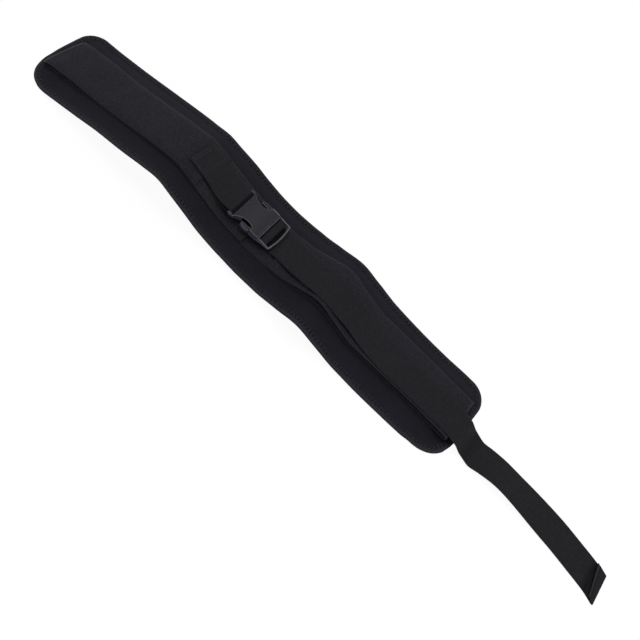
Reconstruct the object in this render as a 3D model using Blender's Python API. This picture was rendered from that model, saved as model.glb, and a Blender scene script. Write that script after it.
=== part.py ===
import math

import bmesh
import bpy
import numpy as np
from mathutils import Matrix, Vector

# Padded panel: u runs along the belt from the panel's left end, h is height above the panel's underside
PAD_LENGTH = 0.864
PAD_WIDTH = 0.1517
NEAR_CORNER = 0.053
FAR_CORNER = 0.031
FOAM_THICK = 0.010
FABRIC_THICK = 0.001
BINDING_THICK = 0.001
BINDING_WIDTH = 0.0115
BINDING_EDGE = 0.0004
PAD_SLOPE = 0.0125
FOAM_EDGE = 0.3
FOAM_DRAW_IN = 0.0015
LINING_SLOPE = 0.003
LAYER_GAP = 0.00035

# Height of the panel's underside above the floor, as (u, height): two soft waves and a flat right end
WAVE = [
    (0.000, 0.0000), (0.048, 0.0010), (0.088, 0.0072), (0.128, 0.0142), (0.178, 0.0232), (0.228, 0.0318),
    (0.268, 0.0378), (0.296, 0.0420), (0.328, 0.0342), (0.358, 0.0259), (0.388, 0.0165), (0.428, 0.0103),
    (0.468, 0.0088), (0.508, 0.0094), (0.548, 0.0198), (0.585, 0.0288), (0.623, 0.0181), (0.668, 0.0055),
    (0.708, 0.0034), (0.768, 0.0015), (0.818, 0.0000), (0.864, 0.0000),
]

# Slope of the panel across the belt in degrees, and the belt's small sideways wander, along u
TWIST = [
    (0.000, 0.0), (0.040, 0.0), (0.148, -2.1), (0.268, -3.2), (0.388, 2.0), (0.508, 2.0), (0.628, 2.6),
    (0.728, 1.5), (0.800, 0.0),
]
SWAY = [(0.000, 0.0012), (0.198, 0.0022), (0.368, 0.0031), (0.538, 0.0025), (0.708, 0.0029), (0.864, 0.0021)]
STATION_STEP = 0.018
STATION_CLEAR = 0.003
CORNER_POINTS = 9
CORNER_LEAST = 0.0005
RIBBON_LANES = 3

# Side-release buckle's mouth along the belt; the sewn ends round it are set from it
BUCKLE_MOUTH = 0.4512

# Wide band along the middle, with a wing folded back over each end
BAND_WIDTH = 0.080
BAND_THICK = 0.002
FOLD_GAP = 0.0036
LEFT_SETBACK = 0.0244
RIGHT_SETBACK = 0.0133
LEFT_WING_SHORT = 0.1144
RIGHT_WING_PAST = 0.0402
LEFT_WING_END = BUCKLE_MOUTH - LEFT_WING_SHORT
RIGHT_WING_END = BUCKLE_MOUTH + RIGHT_WING_PAST

# Flap sewn under the left wing's end
FLAP_THICK = 0.0012
FLAP_UNDER_WING = 0.029
FLAP_SHORT = 0.0129
FLAP_START = LEFT_WING_END - FLAP_UNDER_WING
FLAP_END = BUCKLE_MOUTH - FLAP_SHORT

# Rise of the wings above their lowest lie: from the left fold, the flap's start and the right wing's end
LEFT_RISE = [(0.0436, 0.0035), (0.0846, 0.0009), (0.1096, 0.0)]
FLAP_RISE = [(-0.1058, 0.0), (-0.0538, 0.0019)]
RIGHT_RISE = [
    (0.0366, 0.0008), (0.0666, 0.0028), (0.0936, 0.0046), (0.1216, 0.0036),
    (0.1766, 0.0018), (0.2966, 0.0024),
]

# Narrow webbing; the tail's route and sideways drift are measured from the panel's right end
STRAP_WIDTH = 0.050
STRAP_THICK = 0.0018
STRAP_ON_WING = 0.0311
SOCKET_STRAP_END = LEFT_WING_END - STRAP_ON_WING
SOCKET_STRAP_SHIFT = 0.002
ANCHOR_ON_WING = 0.0676
ADJUSTER_ANCHOR = RIGHT_WING_END + ANCHOR_ON_WING
ANCHOR_SETTLE = 0.024
BEFORE_WING = 0.003
WING_DRIFT = 0.0022
TAIL_REACH = 0.2823
TAIL_LANDING = 0.052
HEM_LENGTH = 0.017
HEM_LIFT = 0.0016
TAIL_ROUTE = [(-0.010, 0.0192), (0.001, 0.0150), (0.012, 0.0100), (0.024, 0.0054), (0.037, 0.0022)]
TAIL_DRIFT = [
    (-0.235, 0.000), (-0.145, -0.0088), (-0.075, -0.0068), (0.000, -0.0095), (0.0746, -0.0087),
    (0.1396, -0.0106), (0.1846, -0.0156), (0.2246, -0.0231), (0.2823, -0.0353),
]
TAIL_TWIST = 0.008
TAIL_TWIST_AT = 0.082
TAIL_TWIST_REACH = 0.042

# Buckle in its own frame: x along the belt from the socket's mouth, z out of the belt
BUCKLE_LIFT = 0.0058
BUCKLE_TILT = 0.0475
BUCKLE_YAW = 4.8
BUCKLE_SHIFT = 0.001
STRAP_CLEAR = 0.0005
SIDE_ARM = 0.0025
SOCKET_COLLAR = 0.0150
WAIST_DEPTH = 0.0097
WAIST_AT = 0.0250
COLLAR_SHOULDER = 0.0030
COLLAR_ROUND = 0.0012
SOCKET_TOP = 0.0060
SOCKET_CROWN = 0.0065
SOCKET_CROWN_AT = 0.020
SOCKET_BOTTOM = 0.0058
SOCKET_FLOOR_END = 0.042
SOCKET_BAR_AT = 0.053
SOCKET_BAR_RADIUS = 0.0022
SOCKET_NOSE = 0.0006
SLOT_SPARE = 0.0005
HORN_REACH = 0.0028
HORN_FLARE = 0.0004
CAVITY_HALF_HEIGHT = 0.0042
CAVITY_DEPTH = 0.0350
WALL = 0.0028
EDGE = 0.0006

SEAM_GAP = 0.0005
SHOULDER_THICK = 0.0027
SHOULDER_INSET = 0.0003
MALE_TOP = 0.0058
MALE_BOTTOM = 0.0054
RAIL_THICK = 0.0019
RAIL_DROP = 0.0006
RAIL_FOOT = 0.0033
RAIL_END_DEPTH = 0.0042
RAIL_END_SHARE = 0.7
MALE_LENGTH = 0.0240
MID_BAR_RADIUS = 0.0014
MID_BAR_FLAT = 0.0036
MID_BAR_DROP = 0.0010
END_BAR_RADIUS = 0.0017
END_BAR_RISE = 0.0011
END_BAR_BOW = 0.0029
GUIDE_LENGTH = 0.030
GUIDE_HALF_WIDTH = 0.0045
GUIDE_TIP_HALF_WIDTH = 0.0021
GUIDE_HALF_HEIGHT = 0.0026

ARM_HINGE_X = -0.0022
ARM_HINGE_INSET = 0.0110
ARM_ROOT = 0.0024
ARM_HALF_HEIGHT = 0.0036
ARM_CLEAR = 0.0003
ARM_BARB = 0.0022
ARM_PAD = 0.0047
ARM_PAD_AT = 0.0225
ARM_TIP = 0.0325
ARM_TIP_ROUND = 0.0014
ARM_BEAM = 0.0032
ARM_INNER = 0.0048
ARM_BEND_AT = 0.008

FABRIC_COLOUR = (0.016, 0.016, 0.018, 1.0)
TAPE_COLOUR = (0.030, 0.030, 0.032, 1.0)
FOAM_COLOUR = (0.05, 0.05, 0.05, 1.0)
WEBBING_COLOUR = (0.022, 0.022, 0.024, 1.0)
PLASTIC_COLOUR = (0.040, 0.040, 0.043, 1.0)


# Smooth curve through a few chosen points, with no overshoot
def smooth(points, at):
    xs = np.array([p[0] for p in points])
    ys = np.array([p[1] for p in points])
    steps = np.diff(xs)
    slopes = np.diff(ys) / steps
    tangent = np.zeros(len(xs))
    for i in range(1, len(xs) - 1):
        if slopes[i - 1] * slopes[i] > 0:
            tangent[i] = 2 * slopes[i - 1] * slopes[i] / (slopes[i - 1] + slopes[i])
    tangent[0] = slopes[0]
    tangent[-1] = slopes[-1]
    at = np.clip(np.asarray(at, dtype=float), xs[0], xs[-1])
    i = np.clip(np.searchsorted(xs, at, side="right") - 1, 0, len(steps) - 1)
    t = (at - xs[i]) / steps[i]
    low = (1 + 2 * t) * (1 - t) ** 2 * ys[i] + t * (1 - t) ** 2 * steps[i] * tangent[i]
    high = t * t * (3 - 2 * t) * ys[i + 1] + t * t * (t - 1) * steps[i] * tangent[i + 1]
    return low + high


# Stations along the belt that every layer shares, so that layers stay parallel
def shared_stations():
    even = np.linspace(0, PAD_LENGTH, int(round(PAD_LENGTH / STATION_STEP)) + 1)
    ends = [
        LEFT_WING_END, RIGHT_WING_END, FLAP_START, FLAP_END, SOCKET_STRAP_END,
        ADJUSTER_ANCHOR, ADJUSTER_ANCHOR + ANCHOR_SETTLE, TWIST[4][0], TWIST[5][0],
    ]
    kept = [u for u in even if min(abs(u - e) for e in ends) > 0.3 * STATION_STEP]
    return np.array(sorted(kept + ends))


STATIONS = shared_stations()
STATION_HEIGHTS = smooth(WAVE, STATIONS)


def wave(u):
    return np.interp(u, STATIONS, STATION_HEIGHTS)


STATION_SLOPES = np.tan(np.radians(np.interp(STATIONS, [t[0] for t in TWIST], [t[1] for t in TWIST])))
STATION_SWAY = smooth(SWAY, STATIONS)


def tilt(u):
    return np.interp(u, STATIONS, STATION_SLOPES)


def sway(u):
    return np.interp(u, STATIONS, STATION_SWAY)


# Heights of the layers above the panel's underside
H_FOAM = FABRIC_THICK + LAYER_GAP
H_COVER = H_FOAM + FOAM_THICK + LAYER_GAP
H_BAND = H_COVER + FABRIC_THICK + LAYER_GAP
H_FLAP = H_BAND + BAND_THICK + LAYER_GAP
BAND_MID = H_BAND + BAND_THICK / 2
FOLD_RADIUS = (FOLD_GAP + BAND_THICK) / 2
WING_LOW = BAND_MID + BAND_THICK + LAYER_GAP
WING_AT_FOLD = BAND_MID + 2 * FOLD_RADIUS
WING_ON_FLAP = WING_LOW + FLAP_THICK + LAYER_GAP
ON_WING = BAND_THICK / 2 + LAYER_GAP + STRAP_THICK / 2
STRAP_STEP = STRAP_THICK + LAYER_GAP
LEFT_FOLD = LEFT_SETBACK
RIGHT_FOLD = PAD_LENGTH - RIGHT_SETBACK
TAIL_TIP = PAD_LENGTH + TAIL_REACH
OVERALL = TAIL_TIP
MIDDLE_Y = (SWAY[0][1] + SWAY[-1][1]) / 2
LINE_HALF = STRAP_WIDTH / 2 + STRAP_CLEAR
SOCKET_HALF_WIDTH = LINE_HALF + SIDE_ARM
SOCKET_WAIST = SOCKET_HALF_WIDTH - WAIST_DEPTH
ARM_HINGE_Y = SOCKET_HALF_WIDTH - ARM_HINGE_INSET


def left_wing_mid(u):
    fold_at = LEFT_FOLD + FOLD_RADIUS + BAND_THICK / 2
    points = [(fold_at, WING_AT_FOLD)]
    points += [(LEFT_FOLD + at, WING_LOW + rise) for at, rise in LEFT_RISE]
    points += [(FLAP_START + at, WING_LOW + rise) for at, rise in FLAP_RISE]
    points += [(FLAP_START - STATION_STEP, WING_ON_FLAP), (LEFT_WING_END, WING_ON_FLAP)]
    return smooth(points, u)


def right_wing_mid(u):
    fold_at = RIGHT_FOLD - FOLD_RADIUS - BAND_THICK / 2
    points = [(RIGHT_WING_END, WING_LOW)]
    points += [(RIGHT_WING_END + at, WING_LOW + rise) for at, rise in RIGHT_RISE]
    points += [(fold_at, WING_AT_FOLD)]
    return smooth(points, u)


# Materials and mesh objects
def material(name, colour, roughness):
    made = bpy.data.materials.new(name)
    made.use_nodes = True
    shader = made.node_tree.nodes["Principled BSDF"]
    shader.inputs["Base Color"].default_value = colour
    shader.inputs["Roughness"].default_value = roughness
    return made


def make_object(name, verts, faces, colour, roughness):
    mesh = bpy.data.meshes.new(name)
    mesh.from_pydata([tuple(v) for v in verts], [], faces)
    shell = bmesh.new()
    shell.from_mesh(mesh)
    bmesh.ops.recalc_face_normals(shell, faces=shell.faces)
    shell.to_mesh(mesh)
    shell.free()
    made = bpy.data.objects.new(name, mesh)
    bpy.context.scene.collection.objects.link(made)
    made.data.materials.append(material(name, colour, roughness))
    return made


# Stations of a long side between its corners; the others it lacks become points of its corners
def long_side(corner):
    tight = min(NEAR_CORNER, FAR_CORNER) + STATION_CLEAR
    low, high = corner + STATION_CLEAR, PAD_LENGTH - corner - STATION_CLEAR
    along = [u for u in STATIONS if low < u < high]
    left = CORNER_POINTS + sum(tight < u <= low for u in STATIONS)
    right = CORNER_POINTS + sum(high <= u < PAD_LENGTH - tight for u in STATIONS)
    return np.array(along), left, right


# One turn round the panel at a distance in from its outline: far side, right end, near side, left end
def ring(inset):
    sides = []
    for corner in (FAR_CORNER, NEAR_CORNER):
        along, left, right = long_side(corner)
        radius = max(corner - inset, CORNER_LEAST)
        reach = inset + radius
        first = np.radians(np.linspace(0, 90, left))
        last = np.radians(np.linspace(90, 0, right))
        u = [reach - radius * np.cos(first), along, PAD_LENGTH - reach + radius * np.cos(last)]
        rise = [radius * np.sin(first), np.full(len(along), radius), radius * np.sin(last)]
        sides.append(np.stack([np.concatenate(u), PAD_WIDTH / 2 - reach + np.concatenate(rise)], axis=1))
    far, near = sides
    near[:, 1] *= -1
    return np.concatenate([far, (far[-1:] + near[-1:]) / 2, near[::-1], (far[:1] + near[:1]) / 2])


# Closed sheet over the panel's outline between two heights that depend on the distance in from the edge
def pad_sheet(name, insets, low, high, colour, roughness):
    rings = [ring(inset) for inset in insets]
    n = len(rings[0])
    k = n // 2 - 1
    inner = rings[-1]
    middle = (inner[1:k - 1] + inner[2 * k - 1:k + 1:-1]) / 2
    into = np.concatenate([np.full(n, inset) for inset in insets] + [np.full(k - 2, insets[-1])])
    u, y = np.concatenate(rings + [middle]).T
    base = wave(u) + y * tilt(u)
    under = np.stack([u, y, base + low(into)], axis=1)
    over = np.stack([u, y, base + high(into)], axis=1)
    plan = []
    for r in range(len(rings) - 1):
        for i in range(n):
            a = r * n + i
            b = r * n + (i + 1) % n
            plan.append((a, b, b + n, a + n))
    start = (len(rings) - 1) * n
    spine = [start + 2 * k + 1] + [len(rings) * n + i for i in range(k - 2)] + [start + k]
    for i in range(k - 1):
        far, near = start + i, start + 2 * k - i
        plan.append((far, far + 1, spine[i + 1], spine[i]))
        plan.append((spine[i], spine[i + 1], near - 1, near))
    count = len(u)
    faces = plan + [tuple(count + v for v in face[:1] + face[:0:-1]) for face in plan]
    for i in range(n):
        j = (i + 1) % n
        faces.append((i, j, count + j, count + i))
    return make_object(name, shift(np.concatenate([under, over])), faces, colour, roughness)


# Row frame: middle of the whole length and width, with the belt's sideways wander added
def shift(points):
    moved = np.array(points, dtype=float)
    moved[:, 1] += sway(moved[:, 0]) - MIDDLE_Y
    moved[:, 0] -= OVERALL / 2
    return moved


def ease(t):
    t = np.clip(t, 0, 1)
    return t * t * (3 - 2 * t)


# Heights of the cover, lining and foam: thin at the stitched margin, full inside it
MARGIN = BINDING_WIDTH + LAYER_GAP
EDGE_INSET = BINDING_THICK + LAYER_GAP
LINING_EDGE = BINDING_THICK + LAYER_GAP
COVER_EDGE = LINING_EDGE + FABRIC_THICK + LAYER_GAP
FOAM_FULL = MARGIN + PAD_SLOPE + FOAM_DRAW_IN


def cover_under(into):
    return COVER_EDGE + (H_COVER - COVER_EDGE) * ease((into - MARGIN) / PAD_SLOPE)


def cover_over(into):
    return cover_under(into) + FABRIC_THICK


def lining_under(into):
    return LINING_EDGE * (1 - np.clip((into - MARGIN) / LINING_SLOPE, 0, 1))


def lining_over(into):
    return lining_under(into) + FABRIC_THICK


def foam_under(into):
    return lining_over(into) + LAYER_GAP


def foam_over(into):
    return cover_under(into - FOAM_DRAW_IN) - LAYER_GAP


def build_pad():
    slope = [MARGIN + PAD_SLOPE * share for share in (0, FOAM_EDGE, 0.65, 1)]
    pad_sheet("pad_cover", [EDGE_INSET] + slope, cover_under, cover_over, FABRIC_COLOUR, 0.85)
    lining = [EDGE_INSET, MARGIN, MARGIN + LINING_SLOPE]
    pad_sheet("pad_lining", lining, lining_under, lining_over, FABRIC_COLOUR, 0.85)
    pad_sheet("foam_core", slope[1:] + [FOAM_FULL], foam_under, foam_over, FOAM_COLOUR, 0.95)
    build_binding()


# Tape folded round the panel's edge: a U section carried along the rounded outline
def build_binding():
    top = COVER_EDGE + FABRIC_THICK + LAYER_GAP
    section = [
        (BINDING_WIDTH, 0.0), (BINDING_EDGE, 0.0), (0.0, top * 0.5), (BINDING_EDGE, top + BINDING_THICK),
        (BINDING_WIDTH, top + BINDING_THICK), (BINDING_WIDTH, top), (BINDING_THICK, top),
        (BINDING_THICK, BINDING_THICK), (BINDING_WIDTH, BINDING_THICK),
    ]
    loops = []
    for into, height in section:
        u, y = ring(into).T
        loops.append(np.stack([u, y, wave(u) + y * tilt(u) + height], axis=1))
    n = len(loops[0])
    faces = []
    for k in range(len(section)):
        m = (k + 1) % len(section)
        for i in range(n):
            j = (i + 1) % n
            faces.append((k * n + i, k * n + j, m * n + j, m * n + i))
    make_object("edge_binding", shift(np.concatenate(loops)), faces, TAPE_COLOUR, 0.9)


# Points of a layer's middle line at the shared stations between two places, in either direction
def run(start, stop, mid):
    low, high = min(start, stop), max(start, stop)
    us = [low] + [u for u in STATIONS if low + STATION_CLEAR < u < high - STATION_CLEAR] + [high]
    if start > stop:
        us = us[::-1]
    return [(u, float(wave(u) + mid(u))) for u in us]


def bend(centre, radius, start, stop, count):
    turns = np.radians(np.linspace(start, stop, count))
    return [(centre[0] + radius * math.cos(a), centre[1] + radius * math.sin(a)) for a in turns]


# Closed ribbon: a middle line given a thickness, carried across the belt with a side drift and a lifted edge
def ribbon(name, line, thick, width, drift, lift, settle):
    mid = np.array(line)
    ahead = np.diff(mid, axis=0)
    ahead /= np.linalg.norm(ahead, axis=1)[:, None]
    normal = np.stack([-ahead[:, 1], ahead[:, 0]], axis=1)
    first = np.concatenate([normal[:1], normal])
    second = np.concatenate([normal, normal[-1:]])
    mitre = first + second
    mitre /= np.sum(mitre * second, axis=1)[:, None]
    lanes = np.linspace(-0.5, 0.5, RIBBON_LANES + 1)
    n = len(mid)
    verts = []
    for edge in (mid + mitre * thick / 2, mid - mitre * thick / 2):
        for lane in lanes:
            across = drift(mid[:, 0]) + lane * width
            raised = edge[:, 1] + across * tilt(edge[:, 0]) + lift(edge[:, 0]) * (0.5 - lane)
            verts.append(np.stack([edge[:, 0], across, raised], axis=1))
    verts = np.concatenate(verts)
    back = n * len(lanes)
    faces = []
    for i in range(n - 1):
        j = i + 1
        for k in range(RIBBON_LANES):
            a = k * n
            b = a + n
            faces.append((a + i, b + i, b + j, a + j))
            faces.append((back + a + i, back + a + j, back + b + j, back + b + i))
        far = RIBBON_LANES * n
        faces.append((i, j, back + j, back + i))
        faces.append((far + i, back + far + i, back + far + j, far + j))
    for i in (0, n - 1):
        for k in range(RIBBON_LANES):
            a = k * n + i
            faces.append((a, back + a, back + a + n, a + n))
    return make_object(name, settle(verts), faces, WEBBING_COLOUR, 0.8)


# Narrow webbing turns in plan with the buckle: fully at its bars, not at all where it lies on a wing
def turn(points):
    moved = np.array(points, dtype=float)
    held_left = BUCKLE_MOUTH - SOCKET_BAR_AT - SOCKET_BAR_RADIUS - STRAP_STEP
    held_right = BUCKLE_MOUTH + MALE_LENGTH + END_BAR_BOW
    free_right = RIGHT_WING_END - BEFORE_WING
    along = moved[:, 0] - BUCKLE_MOUTH
    across = moved[:, 1] - BUCKLE_SHIFT
    share = ease((moved[:, 0] - LEFT_WING_END) / (held_left - LEFT_WING_END))
    share *= ease((free_right - moved[:, 0]) / (free_right - held_right))
    angle = math.radians(BUCKLE_YAW) * share
    moved[:, 0] = BUCKLE_MOUTH + along * np.cos(angle) - across * np.sin(angle)
    moved[:, 1] = BUCKLE_SHIFT + along * np.sin(angle) + across * np.cos(angle)
    return shift(moved)


def no_drift(u):
    return np.zeros(np.shape(u))


def build_band():
    left = LEFT_FOLD + FOLD_RADIUS + BAND_THICK / 2
    right = RIGHT_FOLD - FOLD_RADIUS - BAND_THICK / 2
    left_centre = (left, float(wave(left)) + BAND_MID + FOLD_RADIUS)
    right_centre = (right, float(wave(right)) + BAND_MID + FOLD_RADIUS)
    line = run(LEFT_WING_END, left, left_wing_mid)
    line += bend(left_centre, FOLD_RADIUS, 90, 270, 9)[1:-1]
    line += run(left, right, lambda u: BAND_MID)
    line += bend(right_centre, FOLD_RADIUS, -90, 90, 9)[1:-1]
    line += run(right, RIGHT_WING_END, right_wing_mid)
    ribbon("wide_band", line, BAND_THICK, BAND_WIDTH, no_drift, no_drift, shift)
    flap = run(FLAP_START, FLAP_END, lambda u: H_FLAP + FLAP_THICK / 2)
    ribbon("buckle_flap", flap, FLAP_THICK, BAND_WIDTH, no_drift, no_drift, shift)


# The buckle lies a little steeper than the belt under it, clear of the flap's end
def buckle_frame():
    bar_u = BUCKLE_MOUTH - SOCKET_BAR_AT
    end_u = BUCKLE_MOUTH + MALE_LENGTH
    fall = float(wave(bar_u) - wave(end_u)) / (end_u - bar_u) + BUCKLE_TILT
    seat = float(wave(FLAP_END)) + H_FLAP + FLAP_THICK + BUCKLE_LIFT + SOCKET_BOTTOM
    height = seat - fall * (BUCKLE_MOUTH - FLAP_END)
    return math.atan(fall), height


PITCH, MOUTH_HEIGHT = buckle_frame()


def from_buckle(x, z):
    u = BUCKLE_MOUTH + x * math.cos(PITCH) + z * math.sin(PITCH)
    return u, MOUTH_HEIGHT - x * math.sin(PITCH) + z * math.cos(PITCH)


# Bars of the ladder, in the buckle's frame
SLOT_IN = SEAM_GAP + SHOULDER_THICK
MID_BAR_LEFT = SLOT_IN + STRAP_THICK + 2 * LAYER_GAP + MID_BAR_RADIUS
MID_BAR_RIGHT = MID_BAR_LEFT + MID_BAR_FLAT
END_BAR_AT = MALE_LENGTH - END_BAR_RADIUS


def build_straps():
    wrap = SOCKET_BAR_RADIUS + LAYER_GAP + STRAP_THICK / 2
    lower = WING_ON_FLAP + ON_WING
    upper = lower + STRAP_STEP
    over = run(SOCKET_STRAP_END, LEFT_WING_END, lambda u: upper)
    under = run(LEFT_WING_END, SOCKET_STRAP_END, lambda u: lower)
    around = bend((-SOCKET_BAR_AT, 0), wrap, 90, -90, 9)
    line = over + [from_buckle(*p) for p in around] + under

    def sewn_off(u):
        return BUCKLE_SHIFT + SOCKET_STRAP_SHIFT * ease((BUCKLE_MOUTH - SOCKET_BAR_AT - u) / STRAP_WIDTH)

    ribbon("socket_strap", line, STRAP_THICK, STRAP_WIDTH, sewn_off, no_drift, turn)

    mid_wrap = MID_BAR_RADIUS + LAYER_GAP + STRAP_THICK / 2
    end_wrap = END_BAR_RADIUS + LAYER_GAP + STRAP_THICK / 2
    first = (MID_BAR_LEFT, -MID_BAR_DROP)
    second = (MID_BAR_RIGHT, -MID_BAR_DROP)
    third = (END_BAR_AT, END_BAR_RISE)
    apart = math.hypot(third[0] - second[0], third[1] - second[1])
    toward = math.degrees(math.atan2(third[1] - second[1], third[0] - second[0]))
    touch = toward + math.degrees(math.acos((mid_wrap + end_wrap) / apart))
    past = MALE_LENGTH + END_BAR_BOW
    local = [(past, third[1] - end_wrap - STRAP_STEP), (END_BAR_AT, third[1] - end_wrap - STRAP_STEP)]
    local += [(MID_BAR_RIGHT, -MID_BAR_DROP - mid_wrap)]
    local += bend(first, mid_wrap, 270, 90, 9)
    local += bend(second, mid_wrap, 90, touch, 3)
    local += bend(third, end_wrap, touch + 180, 270, 3)
    local += [(past, third[1] - end_wrap)]

    anchored = run(ADJUSTER_ANCHOR, RIGHT_WING_END, lambda u: right_wing_mid(u) + ON_WING)
    before = (RIGHT_WING_END - BEFORE_WING, anchored[-1][1])
    line = anchored + [before] + [from_buckle(*p) for p in local]
    line.append((before[0], before[1] + STRAP_STEP))
    settled = ADJUSTER_ANCHOR + ANCHOR_SETTLE

    def upper_mid(u):
        stacked = STRAP_STEP * (1 - ease((u - ADJUSTER_ANCHOR) / ANCHOR_SETTLE))
        return right_wing_mid(u) + ON_WING + stacked

    line += run(RIGHT_WING_END, settled, upper_mid)
    off = RIGHT_FOLD - FOLD_RADIUS - BAND_THICK / 2
    line += run(settled, off, upper_mid)[1:]
    line += [(PAD_LENGTH + past_end, height) for past_end, height in TAIL_ROUTE]
    floor = STRAP_THICK / 2
    flat = np.linspace(PAD_LENGTH + TAIL_LANDING, TAIL_TIP - HEM_LENGTH, 13)
    line += [(float(u), floor) for u in flat]
    hem_turn = STRAP_STEP / 2
    line += bend((TAIL_TIP - hem_turn - STRAP_THICK / 2, floor + hem_turn), hem_turn, -90, 90, 7)
    line.append((TAIL_TIP - HEM_LENGTH, floor + 2 * hem_turn + HEM_LIFT))

    def drift(u):
        points = [(BUCKLE_MOUTH + past, BUCKLE_SHIFT), (RIGHT_WING_END, BUCKLE_SHIFT + WING_DRIFT)]
        points += [(settled, 0.0)]
        points += [(PAD_LENGTH + at, aside) for at, aside in TAIL_DRIFT]
        return smooth(points, u)

    def lift(u):
        away = (u - PAD_LENGTH - TAIL_TWIST_AT) / TAIL_TWIST_REACH
        return TAIL_TWIST * np.exp(-away ** 2) * (u > PAD_LENGTH)

    ribbon("adjuster_strap", line, STRAP_THICK, STRAP_WIDTH, drift, lift, turn)


# Arc through three points of a plane
def arc_through(a, b, c, count):
    ax, ay = a
    bx, by = b
    cx, cy = c
    d = 2 * (ax * (by - cy) + bx * (cy - ay) + cx * (ay - by))
    aa, bb, cc = ax * ax + ay * ay, bx * bx + by * by, cx * cx + cy * cy
    ox = (aa * (by - cy) + bb * (cy - ay) + cc * (ay - by)) / d
    oy = (aa * (cx - bx) + bb * (ax - cx) + cc * (bx - ax)) / d
    radius = math.hypot(ax - ox, ay - oy)
    start = math.atan2(ay - oy, ax - ox)
    middle = (math.atan2(by - oy, bx - ox) - start + math.pi) % (2 * math.pi) - math.pi
    stop = (math.atan2(cy - oy, cx - ox) - start + math.pi) % (2 * math.pi) - math.pi
    if middle * stop < 0:
        stop += math.copysign(2 * math.pi, middle)
    turns = start + stop * np.linspace(0, 1, count)
    return [(ox + radius * math.cos(t), oy + radius * math.sin(t)) for t in turns]


# Prism of an outline with its rims drawn in by a small edge; axis chooses the direction it is raised along
def prism(name, outline, low, high, edge, axis):
    points = np.array(outline)
    area = np.sum(points[:, 0] * np.roll(points[:, 1], -1) - points[:, 1] * np.roll(points[:, 0], -1))
    if area < 0:
        points = points[::-1]
    ahead = np.roll(points, -1, axis=0) - points
    ahead /= np.linalg.norm(ahead, axis=1)[:, None]
    normal = np.stack([-ahead[:, 1], ahead[:, 0]], axis=1)
    mitre = normal + np.roll(normal, 1, axis=0)
    mitre /= np.maximum(np.sum(mitre * normal, axis=1), 0.35)[:, None]
    inner = points + mitre * edge
    levels = [(inner, low), (points, low + edge), (points, high - edge), (inner, high)]
    if edge == 0:
        levels = [(points, low), (points, high)]
    verts = []
    for ring, level in levels:
        for p, q in ring:
            verts.append((p, q, level) if axis == "z" else (p, level, q))
    n = len(points)
    faces = [tuple(range(n)), tuple(range((len(levels) - 1) * n, len(levels) * n))]
    for k in range(len(levels) - 1):
        for i in range(n):
            j = (i + 1) % n
            faces.append((k * n + i, k * n + j, (k + 1) * n + j, (k + 1) * n + i))
    return make_object(name, verts, faces, PLASTIC_COLOUR, 0.4)


# Join or cut with another solid, which is then removed
def combine(target, other, operation):
    step = target.modifiers.new(operation, "BOOLEAN")
    step.operation = operation
    step.solver = "EXACT"
    step.object = other
    bpy.context.view_layer.update()
    shaped = target.evaluated_get(bpy.context.evaluated_depsgraph_get())
    mesh = bpy.data.meshes.new_from_object(shaped)
    target.modifiers.clear()
    old = target.data
    target.data = mesh
    bpy.data.meshes.remove(old)
    bpy.data.objects.remove(other)
    slots = target.data.materials
    while len(slots) > 1:
        slots.pop()
    target.data.polygons.foreach_set("material_index", [0] * len(target.data.polygons))


def mirrored(half):
    return half + [(x, -y) for x, y in reversed(half) if y > 1e-9]


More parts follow.
